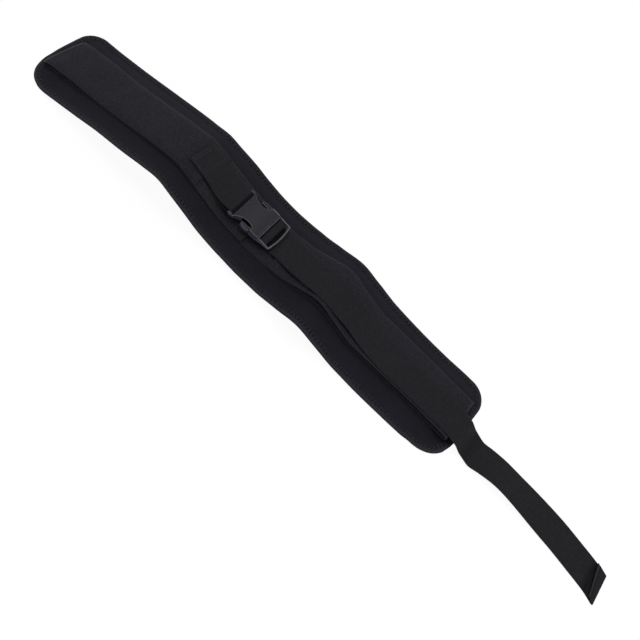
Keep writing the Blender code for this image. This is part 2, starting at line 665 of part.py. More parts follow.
def build_socket():
    slot_far = -SOCKET_BAR_AT + SOCKET_BAR_RADIUS
    slot_near = slot_far + STRAP_THICK + 2 * LAYER_GAP + SLOT_SPARE
    horn = -SOCKET_BAR_AT - HORN_REACH
    wide = SOCKET_HALF_WIDTH + HORN_FLARE
    collar = [(0, SOCKET_HALF_WIDTH), (-SOCKET_COLLAR + COLLAR_ROUND, SOCKET_HALF_WIDTH)]
    collar += [(-SOCKET_COLLAR, SOCKET_HALF_WIDTH - COLLAR_ROUND)]
    shoulder = (-SOCKET_COLLAR, SOCKET_WAIST + COLLAR_SHOULDER)
    flare = (slot_near + 2 * HORN_FLARE, SOCKET_HALF_WIDTH - 2 * HORN_FLARE)
    waist = arc_through(shoulder, (-WAIST_AT, SOCKET_WAIST), flare, 10)
    tip = [(slot_far, wide - HORN_FLARE / 2), (horn + COLLAR_ROUND, wide)]
    tip += [(horn, wide - COLLAR_ROUND), (horn + HORN_FLARE / 2, LINE_HALF - SIDE_ARM / 2)]
    tip += [(-SOCKET_BAR_AT - SOCKET_BAR_RADIUS, LINE_HALF - SIDE_ARM)]
    high = max(SOCKET_CROWN, SOCKET_TOP) + EDGE
    socket = prism("buckle_socket", mirrored(collar + waist + tip), -high, high, 0, "z")

    flat = SOCKET_BAR_RADIUS * math.tan(math.radians(22.5))
    nose = SOCKET_BAR_RADIUS + SOCKET_NOSE
    top = arc_through((0, SOCKET_TOP), (-SOCKET_CROWN_AT, SOCKET_CROWN), (slot_near, nose), 9)
    side = [(EDGE, SOCKET_TOP), (EDGE, -SOCKET_BOTTOM), (-SOCKET_FLOOR_END, -SOCKET_BOTTOM)]
    side += [(slot_near, -nose), (slot_far, -flat), (flat - SOCKET_BAR_AT, -SOCKET_BAR_RADIUS)]
    side += [(-flat - SOCKET_BAR_AT, -SOCKET_BAR_RADIUS), (horn - EDGE, -flat), (horn - EDGE, flat)]
    side += [(-flat - SOCKET_BAR_AT, SOCKET_BAR_RADIUS), (flat - SOCKET_BAR_AT, SOCKET_BAR_RADIUS)]
    side += [(slot_far, flat)] + top[:0:-1]
    beyond = wide + WALL
    combine(socket, prism("side", side, -beyond, beyond, 0, "y"), "INTERSECT")

    inner = SOCKET_HALF_WIDTH - WALL
    hollow = [(EDGE, inner), (-SOCKET_COLLAR, inner), (-SOCKET_COLLAR, beyond), (-CAVITY_DEPTH, beyond)]
    cavity = prism("cavity", mirrored(hollow), -CAVITY_HALF_HEIGHT, CAVITY_HALF_HEIGHT, 0, "z")
    combine(socket, cavity, "DIFFERENCE")
    slot = [(slot_near, LINE_HALF), (slot_far, LINE_HALF)]
    combine(socket, prism("slot", mirrored(slot), -2 * high, 2 * high, 0, "z"), "DIFFERENCE")
    place(socket, 0, 0)
    soften(socket)


def build_male():
    outer = LINE_HALF + RAIL_THICK
    rail_end = END_BAR_AT + END_BAR_RADIUS * RAIL_END_SHARE
    high = END_BAR_RISE + END_BAR_RADIUS
    side = [
        (SEAM_GAP, MALE_TOP), (SLOT_IN + RAIL_DROP, MALE_TOP - RAIL_DROP), (END_BAR_AT, high),
        (rail_end, high - RAIL_DROP), (rail_end, high - RAIL_END_DEPTH / 2),
        (END_BAR_AT, high - RAIL_END_DEPTH),
        (SLOT_IN + SHOULDER_THICK, -RAIL_FOOT), (SEAM_GAP, -MALE_BOTTOM),
    ]
    male = prism("buckle_male", side, LINE_HALF, outer, EDGE, "y")
    combine(male, prism("rail", side, -outer, -LINE_HALF, EDGE, "y"), "UNION")
    wall = [(SEAM_GAP, outer - SHOULDER_INSET), (SLOT_IN, outer - SHOULDER_INSET)]
    block = prism(
        "block", mirrored(wall), SHOULDER_INSET - MALE_BOTTOM, MALE_TOP - SHOULDER_INSET, EDGE, "z",
    )
    combine(male, block, "UNION")
    grip = LINE_HALF + RAIL_THICK / 2
    stadium = bend((MID_BAR_LEFT, -MID_BAR_DROP), MID_BAR_RADIUS, 270, 90, 7)
    stadium += bend((MID_BAR_RIGHT, -MID_BAR_DROP), MID_BAR_RADIUS, 90, -90, 7)
    combine(male, prism("mid_bar", stadium, -grip, grip, 0, "y"), "UNION")
    combine(male, bowed_bar(grip), "UNION")
    tip = -GUIDE_LENGTH
    narrowed = GUIDE_HALF_WIDTH - GUIDE_TIP_HALF_WIDTH
    tongue = [(SEAM_GAP + SHOULDER_THICK / 2, GUIDE_HALF_WIDTH)]
    tongue += [(tip + narrowed, GUIDE_HALF_WIDTH - narrowed / 3), (tip, GUIDE_TIP_HALF_WIDTH)]
    guide = prism("guide", mirrored(tongue), -GUIDE_HALF_HEIGHT, GUIDE_HALF_HEIGHT, EDGE, "z")
    combine(male, guide, "UNION")
    place(male, 0, 0)
    soften(male)


# End bar: a round bar carried along a shallow bow between the rails
def bowed_bar(grip):
    spots = np.linspace(-1, 1, 13)
    sides = 10
    verts = []
    for s in spots:
        at = END_BAR_AT + END_BAR_BOW * (1 - s * s)
        for k in range(sides):
            a = 2 * math.pi * (k + 0.5) / sides
            out, up = END_BAR_RADIUS * math.cos(a), END_BAR_RADIUS * math.sin(a)
            verts.append((at + out, s * grip, END_BAR_RISE + up))
    faces = [tuple(range(sides)), tuple(range((len(spots) - 1) * sides, len(spots) * sides))]
    for i in range(len(spots) - 1):
        for k in range(sides):
            m = (k + 1) % sides
            faces.append((i * sides + k, i * sides + m, (i + 1) * sides + m, (i + 1) * sides + k))
    return make_object("end_bar", verts, faces, PLASTIC_COLOUR, 0.4)


# Flexing arm: round root on its hinge line, slim beam, barb behind the collar and a rounded release pad
def build_arm(name, sign):
    barb_x = -SOCKET_COLLAR - ARM_CLEAR
    inside = SOCKET_HALF_WIDTH - WALL
    pad = inside + ARM_PAD
    barb_y = inside + ARM_BARB
    outer = [(-ARM_BEND_AT, ARM_HINGE_Y + ARM_BEAM), (barb_x, inside - ARM_BEAM / 2), (barb_x, barb_y)]
    outer += arc_through(
        (barb_x - EDGE, (pad + barb_y) / 2), (-ARM_PAD_AT, pad), (-ARM_TIP + EDGE, barb_y), 7,
    )
    inner = [
        (-ARM_TIP, inside), (-ARM_TIP + ARM_TIP_ROUND, inside - ARM_BARB), (-ARM_PAD_AT, inside - ARM_BARB),
        (barb_x, inside - ARM_INNER), (-ARM_BEND_AT, ARM_HINGE_Y - EDGE),
    ]
    root = bend((ARM_HINGE_X, ARM_HINGE_Y), ARM_ROOT, -90, 90, 8)
    outline = [((x - ARM_HINGE_X), sign * (y - ARM_HINGE_Y)) for x, y in root + outer + inner]
    arm = prism(name, outline, -ARM_HALF_HEIGHT, ARM_HALF_HEIGHT, EDGE, "z")
    place(arm, ARM_HINGE_X, sign * ARM_HINGE_Y)
    soften(arm)


# Buckle's own frame in the row frame: turned in plan, pitched along the belt and rolled with the panel
def buckle_matrix():
    aside = float(sway(BUCKLE_MOUTH)) - MIDDLE_Y + BUCKLE_SHIFT
    seat = Vector((BUCKLE_MOUTH - OVERALL / 2, aside, MOUTH_HEIGHT))
    roll = math.atan(float(tilt(BUCKLE_MOUTH)))
    turned = Matrix.Translation(seat) @ Matrix.Rotation(math.radians(BUCKLE_YAW), 4, "Z")
    return turned @ Matrix.Rotation(PITCH, 4, "Y") @ Matrix.Rotation(roll, 4, "X")


# Put a buckle piece at its place, with its own origin at the given point of the buckle's frame
def place(piece, x, y):
    piece.matrix_world = buckle_matrix() @ Matrix.Translation(Vector((x, y, 0)))


def soften(piece):
    piece.data.polygons.foreach_set("use_smooth", [True] * len(piece.data.polygons))
    piece.data.set_sharp_from_angle(angle=math.radians(32))


def main():
    for old in list(bpy.data.objects):
        bpy.data.objects.remove(old)
    build_pad()
    build_band()
    build_straps()
    build_socket()
    build_male()
    build_arm("release_arm_near", -1)
    build_arm("release_arm_far", 1)
    frame = buckle_matrix()
    print("release axis", [round(-v, 6) for v in frame.col[0][:3]])
    print("arm axis", [round(v, 6) for v in frame.col[2][:3]])
    for sign in (-1, 1):
        print("arm hinge", [round(v, 6) for v in frame @ Vector((ARM_HINGE_X, sign * ARM_HINGE_Y, 0))])


main()
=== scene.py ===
import math

import bmesh
import bpy
import numpy as np
from mathutils import Matrix


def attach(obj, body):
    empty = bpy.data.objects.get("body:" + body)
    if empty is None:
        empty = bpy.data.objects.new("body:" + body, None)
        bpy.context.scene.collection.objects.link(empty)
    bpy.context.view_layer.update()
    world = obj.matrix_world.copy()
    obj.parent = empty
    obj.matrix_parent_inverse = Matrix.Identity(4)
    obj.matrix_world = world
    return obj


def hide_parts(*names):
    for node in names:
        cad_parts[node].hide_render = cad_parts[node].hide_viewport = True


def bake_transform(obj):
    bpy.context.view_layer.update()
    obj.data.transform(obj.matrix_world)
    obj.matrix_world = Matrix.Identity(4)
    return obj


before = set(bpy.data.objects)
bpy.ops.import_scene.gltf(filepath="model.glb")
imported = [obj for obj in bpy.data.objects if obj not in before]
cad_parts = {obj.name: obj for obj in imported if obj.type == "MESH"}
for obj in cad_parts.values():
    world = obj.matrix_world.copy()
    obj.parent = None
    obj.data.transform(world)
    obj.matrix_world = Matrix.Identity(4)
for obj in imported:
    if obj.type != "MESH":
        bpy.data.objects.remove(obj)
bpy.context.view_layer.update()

# how the belt lies: u runs along from the pad's left end, y across, metres
belt = {
    "overall": 1.1463,
    "padLength": 0.864,
    "padWidth": 0.1517,
    "nearCorner": 0.053,
    "farCorner": 0.031,
    "wave": [
        (0.000, 0.0000), (0.048, 0.0010), (0.088, 0.0072), (0.128, 0.0142), (0.178, 0.0232), (0.228, 0.0318),
        (0.268, 0.0378), (0.296, 0.0420), (0.328, 0.0342), (0.358, 0.0259), (0.388, 0.0165), (0.428, 0.0103),
        (0.468, 0.0088), (0.508, 0.0094), (0.548, 0.0198), (0.585, 0.0288), (0.623, 0.0181), (0.668, 0.0055),
        (0.708, 0.0034), (0.768, 0.0015), (0.818, 0.0000), (0.864, 0.0000),
    ],
    "twist": [  # degrees, far edge up
        (0.000, 0.0), (0.040, 0.0), (0.148, -2.1), (0.268, -3.2), (0.388, 2.0), (0.508, 2.0), (0.628, 2.6),
        (0.728, 1.5), (0.800, 0.0), (1.2, 0.0),
    ],
    "sway": [
        (0.000, 0.0012), (0.198, 0.0022), (0.368, 0.0031), (0.538, 0.0025), (0.708, 0.0029), (0.864, 0.0021),
    ],
    # how far the sewn outline wavers outward: along the two sides by u, across the two ends by y
    "bulgeNear": [
        (0.000, 0.0), (0.030, 0.0), (0.070, 0.0011), (0.130, 0.0010), (0.170, 0.0), (0.225, 0.0012),
        (0.265, -0.0001), (0.320, -0.0008), (0.430, -0.0003), (0.470, 0.0008), (0.515, 0.0007),
        (0.550, 0.0029), (0.585, 0.0039), (0.620, 0.0025), (0.665, 0.0012), (0.715, 0.0024),
        (0.765, 0.0022), (0.795, 0.0012), (0.812, -0.0010), (0.830, -0.0004), (0.864, 0.0020),
    ],
    "bulgeFar": [
        (0.000, 0.0), (0.030, -0.0002), (0.055, 0.0008), (0.090, 0.0003), (0.190, 0.0012), (0.255, 0.0018),
        (0.295, 0.0), (0.390, 0.0015), (0.450, 0.0007), (0.490, 0.0021), (0.510, 0.0035), (0.532, 0.0022),
        (0.552, 0.0003), (0.580, -0.0013), (0.610, 0.0), (0.660, 0.0017), (0.700, 0.0003), (0.740, -0.0005),
        (0.775, 0.0004), (0.815, 0.0025), (0.864, 0.0010),
    ],
    "bulgeLeft": [
        (-0.065, -0.0045), (-0.045, -0.0054), (-0.020, -0.0035), (0.000, -0.0008), (0.020, 0.0006),
        (0.040, 0.0016), (0.065, 0.0020),
    ],
    "bulgeRight": [
        (-0.065, 0.0035), (-0.050, 0.0020), (-0.040, 0.0003), (0.000, 0.0005), (0.040, 0.0012),
        (0.060, 0.0003),
    ],
    "endReach": 0.12,  # from each end the wavering fades out over this length
}
layer = {"gap": 0.00035, "cloth": 0.001, "foam": 0.010, "band": 0.002, "flap": 0.0012, "strap": 0.0018}
# heights above the panel's underside: its top, then the middles of the layers on it
padTop = 2 * layer["cloth"] + layer["foam"] + 2 * layer["gap"]
bandMid = padTop + layer["gap"] + layer["band"] / 2
flapMid = bandMid + layer["band"] / 2 + layer["gap"] + layer["flap"] / 2
wingLow = bandMid + layer["band"] + layer["gap"]
wingOnFlap = wingLow + layer["flap"] + layer["gap"]
onWing = layer["band"] / 2 + layer["gap"] + layer["strap"] / 2  # from a wing's middle to a strap's
strapStep = layer["strap"] + layer["gap"]  # from one strap layer to the next


# smooth curve through a few points with no overshoot: cubic between points, harmonic-mean slopes at them
def smooth(knots, at):
    xs, ys = np.array(knots, float).T
    steps = np.diff(xs)
    slopes = np.diff(ys) / steps
    same = slopes[:-1] * slopes[1:] > 0
    total = np.where(same, slopes[:-1] + slopes[1:], 1)
    inner = np.where(same, 2 * slopes[:-1] * slopes[1:] / total, 0)
    tangent = np.concatenate([slopes[:1], inner, slopes[-1:]])
    at = np.clip(np.asarray(at, float), xs[0], xs[-1])
    i = np.clip(np.searchsorted(xs, at, side="right") - 1, 0, len(steps) - 1)
    t = (at - xs[i]) / steps[i]
    low = (1 + 2 * t) * (1 - t) ** 2 * ys[i] + t * (1 - t) ** 2 * steps[i] * tangent[i]
    return low + t * t * (3 - 2 * t) * ys[i + 1] + t * t * (t - 1) * steps[i] * tangent[i + 1]


# soft step from 0 to 1: three squares less two cubes of the share
def ease(t):
    t = np.clip(t, 0, 1)
    return t * t * (3 - 2 * t)


# height of the panel's underside
def wave(u):
    return smooth(belt["wave"], u)


swayMid = (belt["sway"][0][1] + belt["sway"][-1][1]) / 2  # keeps the panel's two ends even about y = 0


# belt place to world: along shifts to the middle, across adds the sway, height adds the twist
def onBelt(u, y, z):
    u, y, z = np.broadcast_arrays(u, y, z)
    slope = np.tan(np.radians(smooth(belt["twist"], u)))
    return np.stack([u - belt["overall"] / 2, y + smooth(belt["sway"], u) - swayMid, z + y * slope], axis=-1)


# mesh with outward faces, shaded smooth up to the sharp angle in degrees
def putMesh(name, verts, faces, uv=None, sharp=38):
    mesh = bpy.data.meshes.new(name)
    mesh.from_pydata(np.reshape(verts, (-1, 3)).tolist(), [], faces)
    if uv is not None:
        mesh.uv_layers.new(name="weave").data.foreach_set("uv", np.ravel(uv))
    work = bmesh.new()
    work.from_mesh(mesh)
    bmesh.ops.recalc_face_normals(work, faces=work.faces)
    work.to_mesh(mesh)
    work.free()
    mesh.shade_smooth()
    mesh.set_sharp_from_angle(angle=math.radians(sharp))
    made = bpy.data.objects.new(name, mesh)
    bpy.context.scene.collection.objects.link(made)
    return made


# closed section of m points carried over n stations: quads between neighbours, and two end faces unless the
# stations close into a ring
def loft(name, grid, along, across, closed=False):
    n, m = grid.shape[:2]
    i, j = np.meshgrid(np.arange(n if closed else n - 1), np.arange(m), indexing="ij")
    i, j = i.ravel(), j.ravel()
    cornersI = np.stack([i, i + 1, i + 1, i], 1)
    cornersJ = np.stack([j, j, j + 1, j + 1], 1)
    faces = ((cornersI % n) * m + cornersJ % m).tolist()
    uv = np.stack([np.asarray(along)[cornersI], np.asarray(across)[cornersJ % m]], -1).reshape(-1, 2)
    if not closed:
        for end in (0, n - 1):
            faces.append((end * m + np.arange(m)).tolist())
            uv = np.concatenate([uv, np.stack([np.full(m, along[end]), across], 1)])
    return putMesh(name, grid, faces, uv)


# distance of each point of a path from its first one, along the path
def distances(points):
    return np.concatenate([[0], np.cumsum(np.linalg.norm(np.diff(points, axis=0), axis=1))])


# ribbon of webbing: a flat section with half-round edges stands on a path of (u, z). s runs from -1 at its
# near edge to 1 at its far edge. drift(u) moves it across the belt, lift(u, s) raises it, slant(far, s) moves
# it along by the distance from its start, and turn(u, y) turns it in plan
def ribbon(name, path, thick, width, drift=None, lift=None, lanes=18, turn=None, slant=None):
    path = np.array(path)
    far = distances(path)
    ahead = np.stack([np.gradient(path[:, 0], far), np.gradient(path[:, 1], far)], 1)
    ahead /= np.linalg.norm(ahead, axis=1)[:, None]
    half = width / 2 - thick / 2
    flat = np.linspace(-half, half, lanes + 1)
    edge = np.radians([60, 30, 0, -30, -60])
    bulge = half + thick / 2 * np.cos(edge)
    level = np.ones(lanes + 1)
    across = np.concatenate([flat, bulge, flat[::-1], -bulge])
    off = np.concatenate([level, np.sin(edge), -level, -np.sin(edge)]) * thick / 2
    s = across[None] / (width / 2)
    u = path[:, :1] - ahead[:, 1:] * off
    z = path[:, 1:] + ahead[:, :1] * off
    y = across + (0 if drift is None else drift(path[:, :1]))
    if slant is not None:
        u = u + slant(far[:, None], s)
    if lift is not None:
        z = z + lift(path[:, :1], s)
    y = np.broadcast_to(y, u.shape)
    if turn is None:
        return loft(name, onBelt(u, y, z), far, across), far[-1]
    grid = onBelt(*turn(u, y), 0)
    grid[..., 2] = onBelt(u, y, z)[..., 2]
    return loft(name, grid, far, across), far[-1]


# even points along the belt at the height mid(u) above the panel's underside
def run(start, stop, mid, step=0.004):
    us = np.linspace(start, stop, max(2, math.ceil(abs(stop - start) / step) + 1))
    return np.stack([us, wave(us) + mid(us)], 1)


# points on an arc, from one angle in degrees to another
def bend(centre, radius, start, stop, count):
    a = np.radians(np.linspace(start, stop, count))
    return np.stack([centre[0] + radius * np.cos(a), centre[1] + radius * np.sin(a)], 1)


# place on the panel after the outline's wavering: full at the edge, fading toward the middle line
def waver(u, y):
    side = np.clip(2 * y / belt["padWidth"], -1, 1)
    out = np.where(side < 0, smooth(belt["bulgeNear"], u), smooth(belt["bulgeFar"], u))
    leftShare = np.clip(1 - u / belt["endReach"], 0, 1) ** 2
    rightShare = np.clip(1 - (belt["padLength"] - u) / belt["endReach"], 0, 1) ** 2
    along = rightShare * smooth(belt["bulgeRight"], y) - leftShare * smooth(belt["bulgeLeft"], y)
    return u + along, y + out * side * np.abs(side)


# closer points on a path: the smooth curve above, once for u and once for z, by distance along the points
def refine(points, step):
    far = distances(points)
    pairs = zip(far[:-1], far[1:])
    parts = [np.linspace(a, b, math.ceil((b - a) / step), endpoint=False) for a, b in pairs]
    at = np.concatenate(parts + [far[-1:]])
    return np.stack([smooth(np.c_[far, points[:, 0]], at), smooth(np.c_[far, points[:, 1]], at)], 1)


stitch = {"sides": 6, "steps": 5, "dip": 1.6, "taper": 0.35}


# row of stitches: each is a short bowed thread, which tapers to its ends and dips them into the cloth
def stitchRow(points, spec):
    far = distances(points)
    count = max(1, int(far[-1] / spec["pitch"]))
    centre = (np.arange(count) + 0.5) * far[-1] / count
    t = np.linspace(-0.5, 0.5, stitch["steps"])
    at = centre[:, None] + t * spec["length"]
    line = np.stack([np.interp(at, far, points[:, k]) for k in range(3)], -1)
    ahead = np.gradient(line, axis=1)
    ahead /= np.linalg.norm(ahead, axis=-1, keepdims=True)
    up = np.array([0, 0, float(spec.get("side", 1))])
    aside = np.cross(ahead, up)
    aside /= np.linalg.norm(aside, axis=-1, keepdims=True)
    line = line + up * (spec["rise"] * (1 - stitch["dip"] * (2 * t) ** 2))[None, :, None]
    turn = np.radians(np.arange(stitch["sides"]) * 360 / stitch["sides"])[:, None]
    thick = spec["radius"] * (1 - stitch["taper"] * (2 * np.abs(t)) ** 3)[None, :, None, None]
    ring = np.cos(turn) * aside[:, :, None] + np.sin(turn) * np.cross(aside, ahead)[:, :, None]
    return line[:, :, None] + thick * ring


# many rows in one mesh: quads round each thread, and a face on both its ends
def stitches(name, rows, spec):
    blocks = np.concatenate([stitchRow(np.array(r), spec) for r in rows])
    steps, sides = stitch["steps"], stitch["sides"]
    k, j = np.meshgrid(np.arange(steps - 1), np.arange(sides), indexing="ij")
    here, after = k.ravel() * sides, (k.ravel() + 1) * sides
    j, beside = j.ravel(), (j.ravel() + 1) % sides
    quads = np.stack([here + j, here + beside, after + beside, after + j], 1)
    start = np.arange(len(blocks))[:, None] * steps * sides
    faces = (start[:, :, None] + quads[None]).reshape(-1, 4).tolist()
    faces += (start + np.arange(sides)).tolist()
    faces += (start + (steps - 1) * sides + np.arange(sides)).tolist()
    return putMesh(name, blocks, faces, sharp=180)


# padded panel
pad = {
    "edge": 0.00135,  # the cloth ends this far inside the outline
    "low": 0.00135,  # its underside is this high in the sewn margin, and falls to 0 over lowReach
    "lowReach": 0.004,
    "high": 0.0038,  # its top in the sewn margin
    "margin": 0.0098,
    "slope": 0.0440,  # width of the swell
    "inside": 0.0500,  # how far in the filled middle counts as
    "rounded": 0.25,  # share of the swell that is round
    "puff": 0.0004,  # size of the ripple, by which the middle settles too
    "ripple": (61, 83, 137, 71),  # rates along and across, then of a slanted wave, in radians per metre
    "leastCorner": 0.0004,
    "parts": (140, 21, 13),  # points along a side, round a corner and between an end's corners
    "sewnRings": [0, 0.003, 0.006],
    "slopeRings": (0.0084, 0.0540, 0.0019),  # from, to and step, in from the sewn edge
}


# one turn round the panel at a distance in from its outline: far side, right end, near side, left end. Each
# corner is a quarter circle, and the ends between them are cut into equal parts
def padRing(inset, parts):
    straight, quarter, ends = parts
    chains = []
    for corner in (belt["farCorner"], belt["nearCorner"]):
        radius = max(corner - inset, pad["leastCorner"])
        reach = inset + radius
        turn = np.radians(np.linspace(0, 90, quarter + 1)[:-1])
        first = reach - radius * np.cos(turn)
        rise = radius * np.sin(turn)
        u = np.concatenate([first, np.linspace(reach, belt["padLength"] - reach, straight),
                            belt["padLength"] - first[::-1]])
        y = np.concatenate([rise, np.full(straight, radius), rise[::-1]]) + belt["padWidth"] / 2 - reach
        chains.append(np.stack([u, y], 1))
    far, near = chains[0], chains[1] * [1, -1]
    share = np.linspace(0, 1, ends + 2)[1:-1, None]
    right = far[-1] + (near[-1] - far[-1]) * share
    left = near[0] + (far[0] - near[0]) * share
    return np.stack(waver(*np.concatenate([far, right, near[::-1], left]).T), 1)


# closed form in rings: a flat sewn margin, then the top swells up to the foam's height, part soft step and
# part round, with a slight ripple. Lines across fill the inside
def padBody():
    straight, quarter, ends = pad["parts"]
    insets = pad["edge"] + np.concatenate([pad["sewnRings"], np.arange(*pad["slopeRings"])])
    rings = [padRing(inset, pad["parts"]) for inset in insets]
    n, k, m = len(rings[0]), straight + 2 * quarter, len(rings)
    far, near = rings[-1][:k], rings[-1][k + ends:2 * k + ends][::-1]
    share = np.linspace(0, 1, ends + 2)[None, 1:-1, None]
    inside = far[1:-1, None] + (near[1:-1, None] - far[1:-1, None]) * share
    plan = np.concatenate(rings + [inside.reshape(-1, 2)])
    into = np.concatenate([np.repeat(insets, n), np.full(inside.shape[0] * ends, pad["inside"])])
    u, y = plan.T
    t = np.clip((into - pad["margin"]) / pad["slope"], 0, 1)
    swell = (1 - pad["rounded"]) * ease(t) + pad["rounded"] * (1 - (1 - t) ** 2)
    alongRate, acrossRate, slantAlong, slantAcross = pad["ripple"]
    ripple = np.sin(u * alongRate + 1.3) * np.sin(y * acrossRate + 0.4)
    ripple += 0.6 * np.sin(u * slantAlong + y * slantAcross)
    top = pad["high"] + (padTop - pad["high"]) * swell + pad["puff"] * (0.5 * ripple * t - t)
    low = pad["low"] * (1 - np.clip((into - pad["margin"]) / pad["lowReach"], 0, 1))
    here = np.arange(n)
    after = (here + 1) % n
    i, j = np.meshgrid(np.arange(m - 1) * n, here, indexing="ij")
    over = np.stack([i + j, i + n + j, i + n + after[j], i + after[j]], -1).reshape(-1, 4)
    last = (m - 1) * n
    index = np.empty((k, ends + 2), int)
    index[:, 0] = last + np.arange(k)
    index[:, -1] = last + 2 * k + ends - 1 - np.arange(k)
    index[1:-1, 1:-1] = m * n + np.arange((k - 2) * ends).reshape(k - 2, ends)
    index[-1, 1:-1] = last + k + np.arange(ends)
    index[0, 1:-1] = last + 2 * k + 2 * ends - 1 - np.arange(ends)
    fill = np.stack([index[:-1, :-1], index[:-1, 1:], index[1:, 1:], index[1:, :-1]], -1).reshape(-1, 4)
    over = np.concatenate([over, fill])
    litSelvedge = np.stack([here, after, after + len(u), here + len(u)], 1)
    base = wave(u)
    grid = np.concatenate([onBelt(u, y, base + top), onBelt(u, y, base + low)])
    faces = np.concatenate([over, over[:, ::-1] + len(u), litSelvedge]).tolist()
    return putMesh("padBody", grid, faces)


padPiece = padBody()
print("pad:", len(padPiece.data.polygons), "faces")

# binding tape folded round the pad's edge
binding = {
    "width": 0.0112,
    "thick": 0.001,
    "top": 0.00505,
    "flatTo": 0.0052,  # past here the top settles by sink toward the sewn row
    "row": 0.0078,
    "rowHalf": 0.0012,
    "groove": 0.00035,
    "sink": 0.0001,
    "lip": (0.0006, 0.0005, 0.0009),  # the tape's raw edge: how far in it starts to fall, and its two drops
    "clear": 0.0004,
    "pucker": 0.00020,
    "puckerFrom": (0.004, 0.003),  # it puckers farther in and higher than this
    "uneven": (0.6, 431.0),  # share and rate of the slower wave
    "pitch": 0.0062,
    "parts": (480, 40, 40),
}


# U section: under the edge, half round, over the edge with a sewn groove, then back along the inner face. Its
# upper face puckers with the stitches and a slower wave
def bindingTape():
    w, th, top = binding["width"], binding["thick"], binding["top"]
    row, groove, settled = binding["row"], binding["groove"], top - binding["sink"]
    rowStart, rowEnd = row - binding["rowHalf"], row + binding["rowHalf"]
    lipRun, lipStart, lipEnd = binding["lip"]
    inner = th + binding["clear"]
    r = top / 2
    edge = np.radians([-75, -50, -25, 0, 25, 50, 75])
    section = [(w, 0.0), (rowEnd, 0.0), (row, groove), (rowStart, 0.0), (r, 0.0)]
    section += [(r - r * math.cos(a), r + r * math.sin(a)) for a in edge]
    section += [(r, top), (binding["flatTo"], top)]
    section += [(rowStart, settled), (row, top - groove), (rowEnd, settled)]
    section += [(w - lipRun, top - lipStart), (w, top - lipEnd)]
    section += [(w, top - th - lipRun), (inner, top - th), (inner, th), (w, th)]
    into, height = np.array(section).T
    u, y = np.stack([padRing(inset, binding["parts"]) for inset in into], 1).transpose(2, 0, 1)
    mid = np.stack([u[:, 0], y[:, 0]], 1)
    far = distances(np.r_[mid, mid[:1]])
    amount, rate = binding["uneven"]
    wavy = np.cos(far[:-1] * 2 * math.pi / binding["pitch"]) + amount * np.sin(far[:-1] * rate + 2)
    over = (into > binding["puckerFrom"][0]) & (height > binding["puckerFrom"][1])
    pulled = binding["pucker"] * wavy[:, None] * over
    around = distances(section)
    rowAround = float(around[np.flatnonzero((into == row) & (height > r))[0]])
    return loft("bindingTape", onBelt(u, y, wave(u) + height + pulled), far, around, closed=True), rowAround


bindingPiece, rowAround = bindingTape()
thread = {"pitch": binding["pitch"], "length": 0.0042, "radius": 0.00036, "rise": 0.00030, "sunk": 0.0003}
underThread = {**thread, "rise": 0.0002, "side": -1}
rowRing = padRing(binding["row"], binding["parts"])
rowU, rowY = np.r_[rowRing, rowRing[:1]].T
topRow = onBelt(rowU, rowY, wave(rowU) + binding["top"] - thread["sunk"])
lowRow = onBelt(rowU, rowY, wave(rowU) + underThread["sunk"])
bindingTopRow = stitches("bindingStitchTop", [topRow], thread)
bindingLowRow = stitches("bindingStitchUnder", [lowRow], underThread)
print("binding:", len(bindingPiece.data.polygons), "faces")

# wide band with a wing folded back over each end, and the flap under the left wing's end
mouth = 0.4512  # the buckle's mouth along the belt, from which the sewn ends are set
band = {
    "width": 0.080,
    "fold": 0.0028,  # radius
    "sag": 0.0036,  # the band's edges follow the rounded pad down
    "leftSetback": 0.0148,
    "rightSetback": 0.0140,
    "leftEnd": mouth - 0.1144,
    "rightEnd": mouth + 0.0402,
    "leftLow": [(0.020, 0.0074), (0.036, 0.0118), (0.050, bandMid)],  # follows the pad down to its left end
    # how far each wing stands off the lower layer
    "leftRise": [
        (0.040, 0.0012), (0.068, 0.0030), (0.109, 0.0009), (0.134, 0.0), (0.202, 0.0), (0.254, 0.0019),
    ],
    "rightRise": [
        (0.0366, 0.0008), (0.0666, 0.0028), (0.0936, 0.0046), (0.1216, 0.0036), (0.1766, 0.0018),
        (0.2966, 0.0024),
    ],
    "curlFrom": 0.012,  # the curl starts this far to the near side of the middle and is full after its span
    "curlSpan": 0.028,
    "curlLeft": [
        (0.016, 0.0006), (0.035, 0.0020), (0.060, 0.0026), (0.095, 0.0020), (0.122, 0.0008), (0.140, 0.0),
    ],
    "curlRight": [
        (0.500, 0.0004), (0.535, 0.0016), (0.575, 0.0034), (0.600, 0.0034), (0.660, 0.0030), (0.730, 0.0034),
        (0.790, 0.0034), (0.830, 0.0032), (0.852, 0.0022),
    ],
    "drift": [
        (0.450, 0.0), (0.560, 0.0020), (0.640, 0.0012), (0.700, 0.0028), (0.780, 0.0034), (0.864, 0.0010),
    ],
    "seam": (0.136, 0.142),  # double row across the left wing
    "seamSink": 0.0005,
    "seamHalf": 0.0016,
}
flap = {
    "start": band["leftEnd"] - 0.029,
    "end": mouth - 0.0129,
    "wingLead": 0.018,  # the left wing has risen onto the flap by this far before it
    "lip": 0.0016,  # its end lifts by this
    "lipReach": 0.012,
    "seamIn": (0.0085, 0.0025),  # rows in from its end
}
leftTurn = band["leftSetback"] + band["fold"] + layer["band"] / 2
rightTurn = belt["padLength"] - band["rightSetback"] - band["fold"] - layer["band"] / 2


# heights of the band's middle above the panel's underside: the lower layer, and each wing from its fold to
# its sewn end
def bandBase(u):
    return smooth(band["leftLow"], u)


# how far the pad's rounding lets the band's edges down: the sixth power of the share of the half width
def sag(y):
    return band["sag"] * np.clip(2 * np.abs(y) / band["width"], 0, 1) ** 6


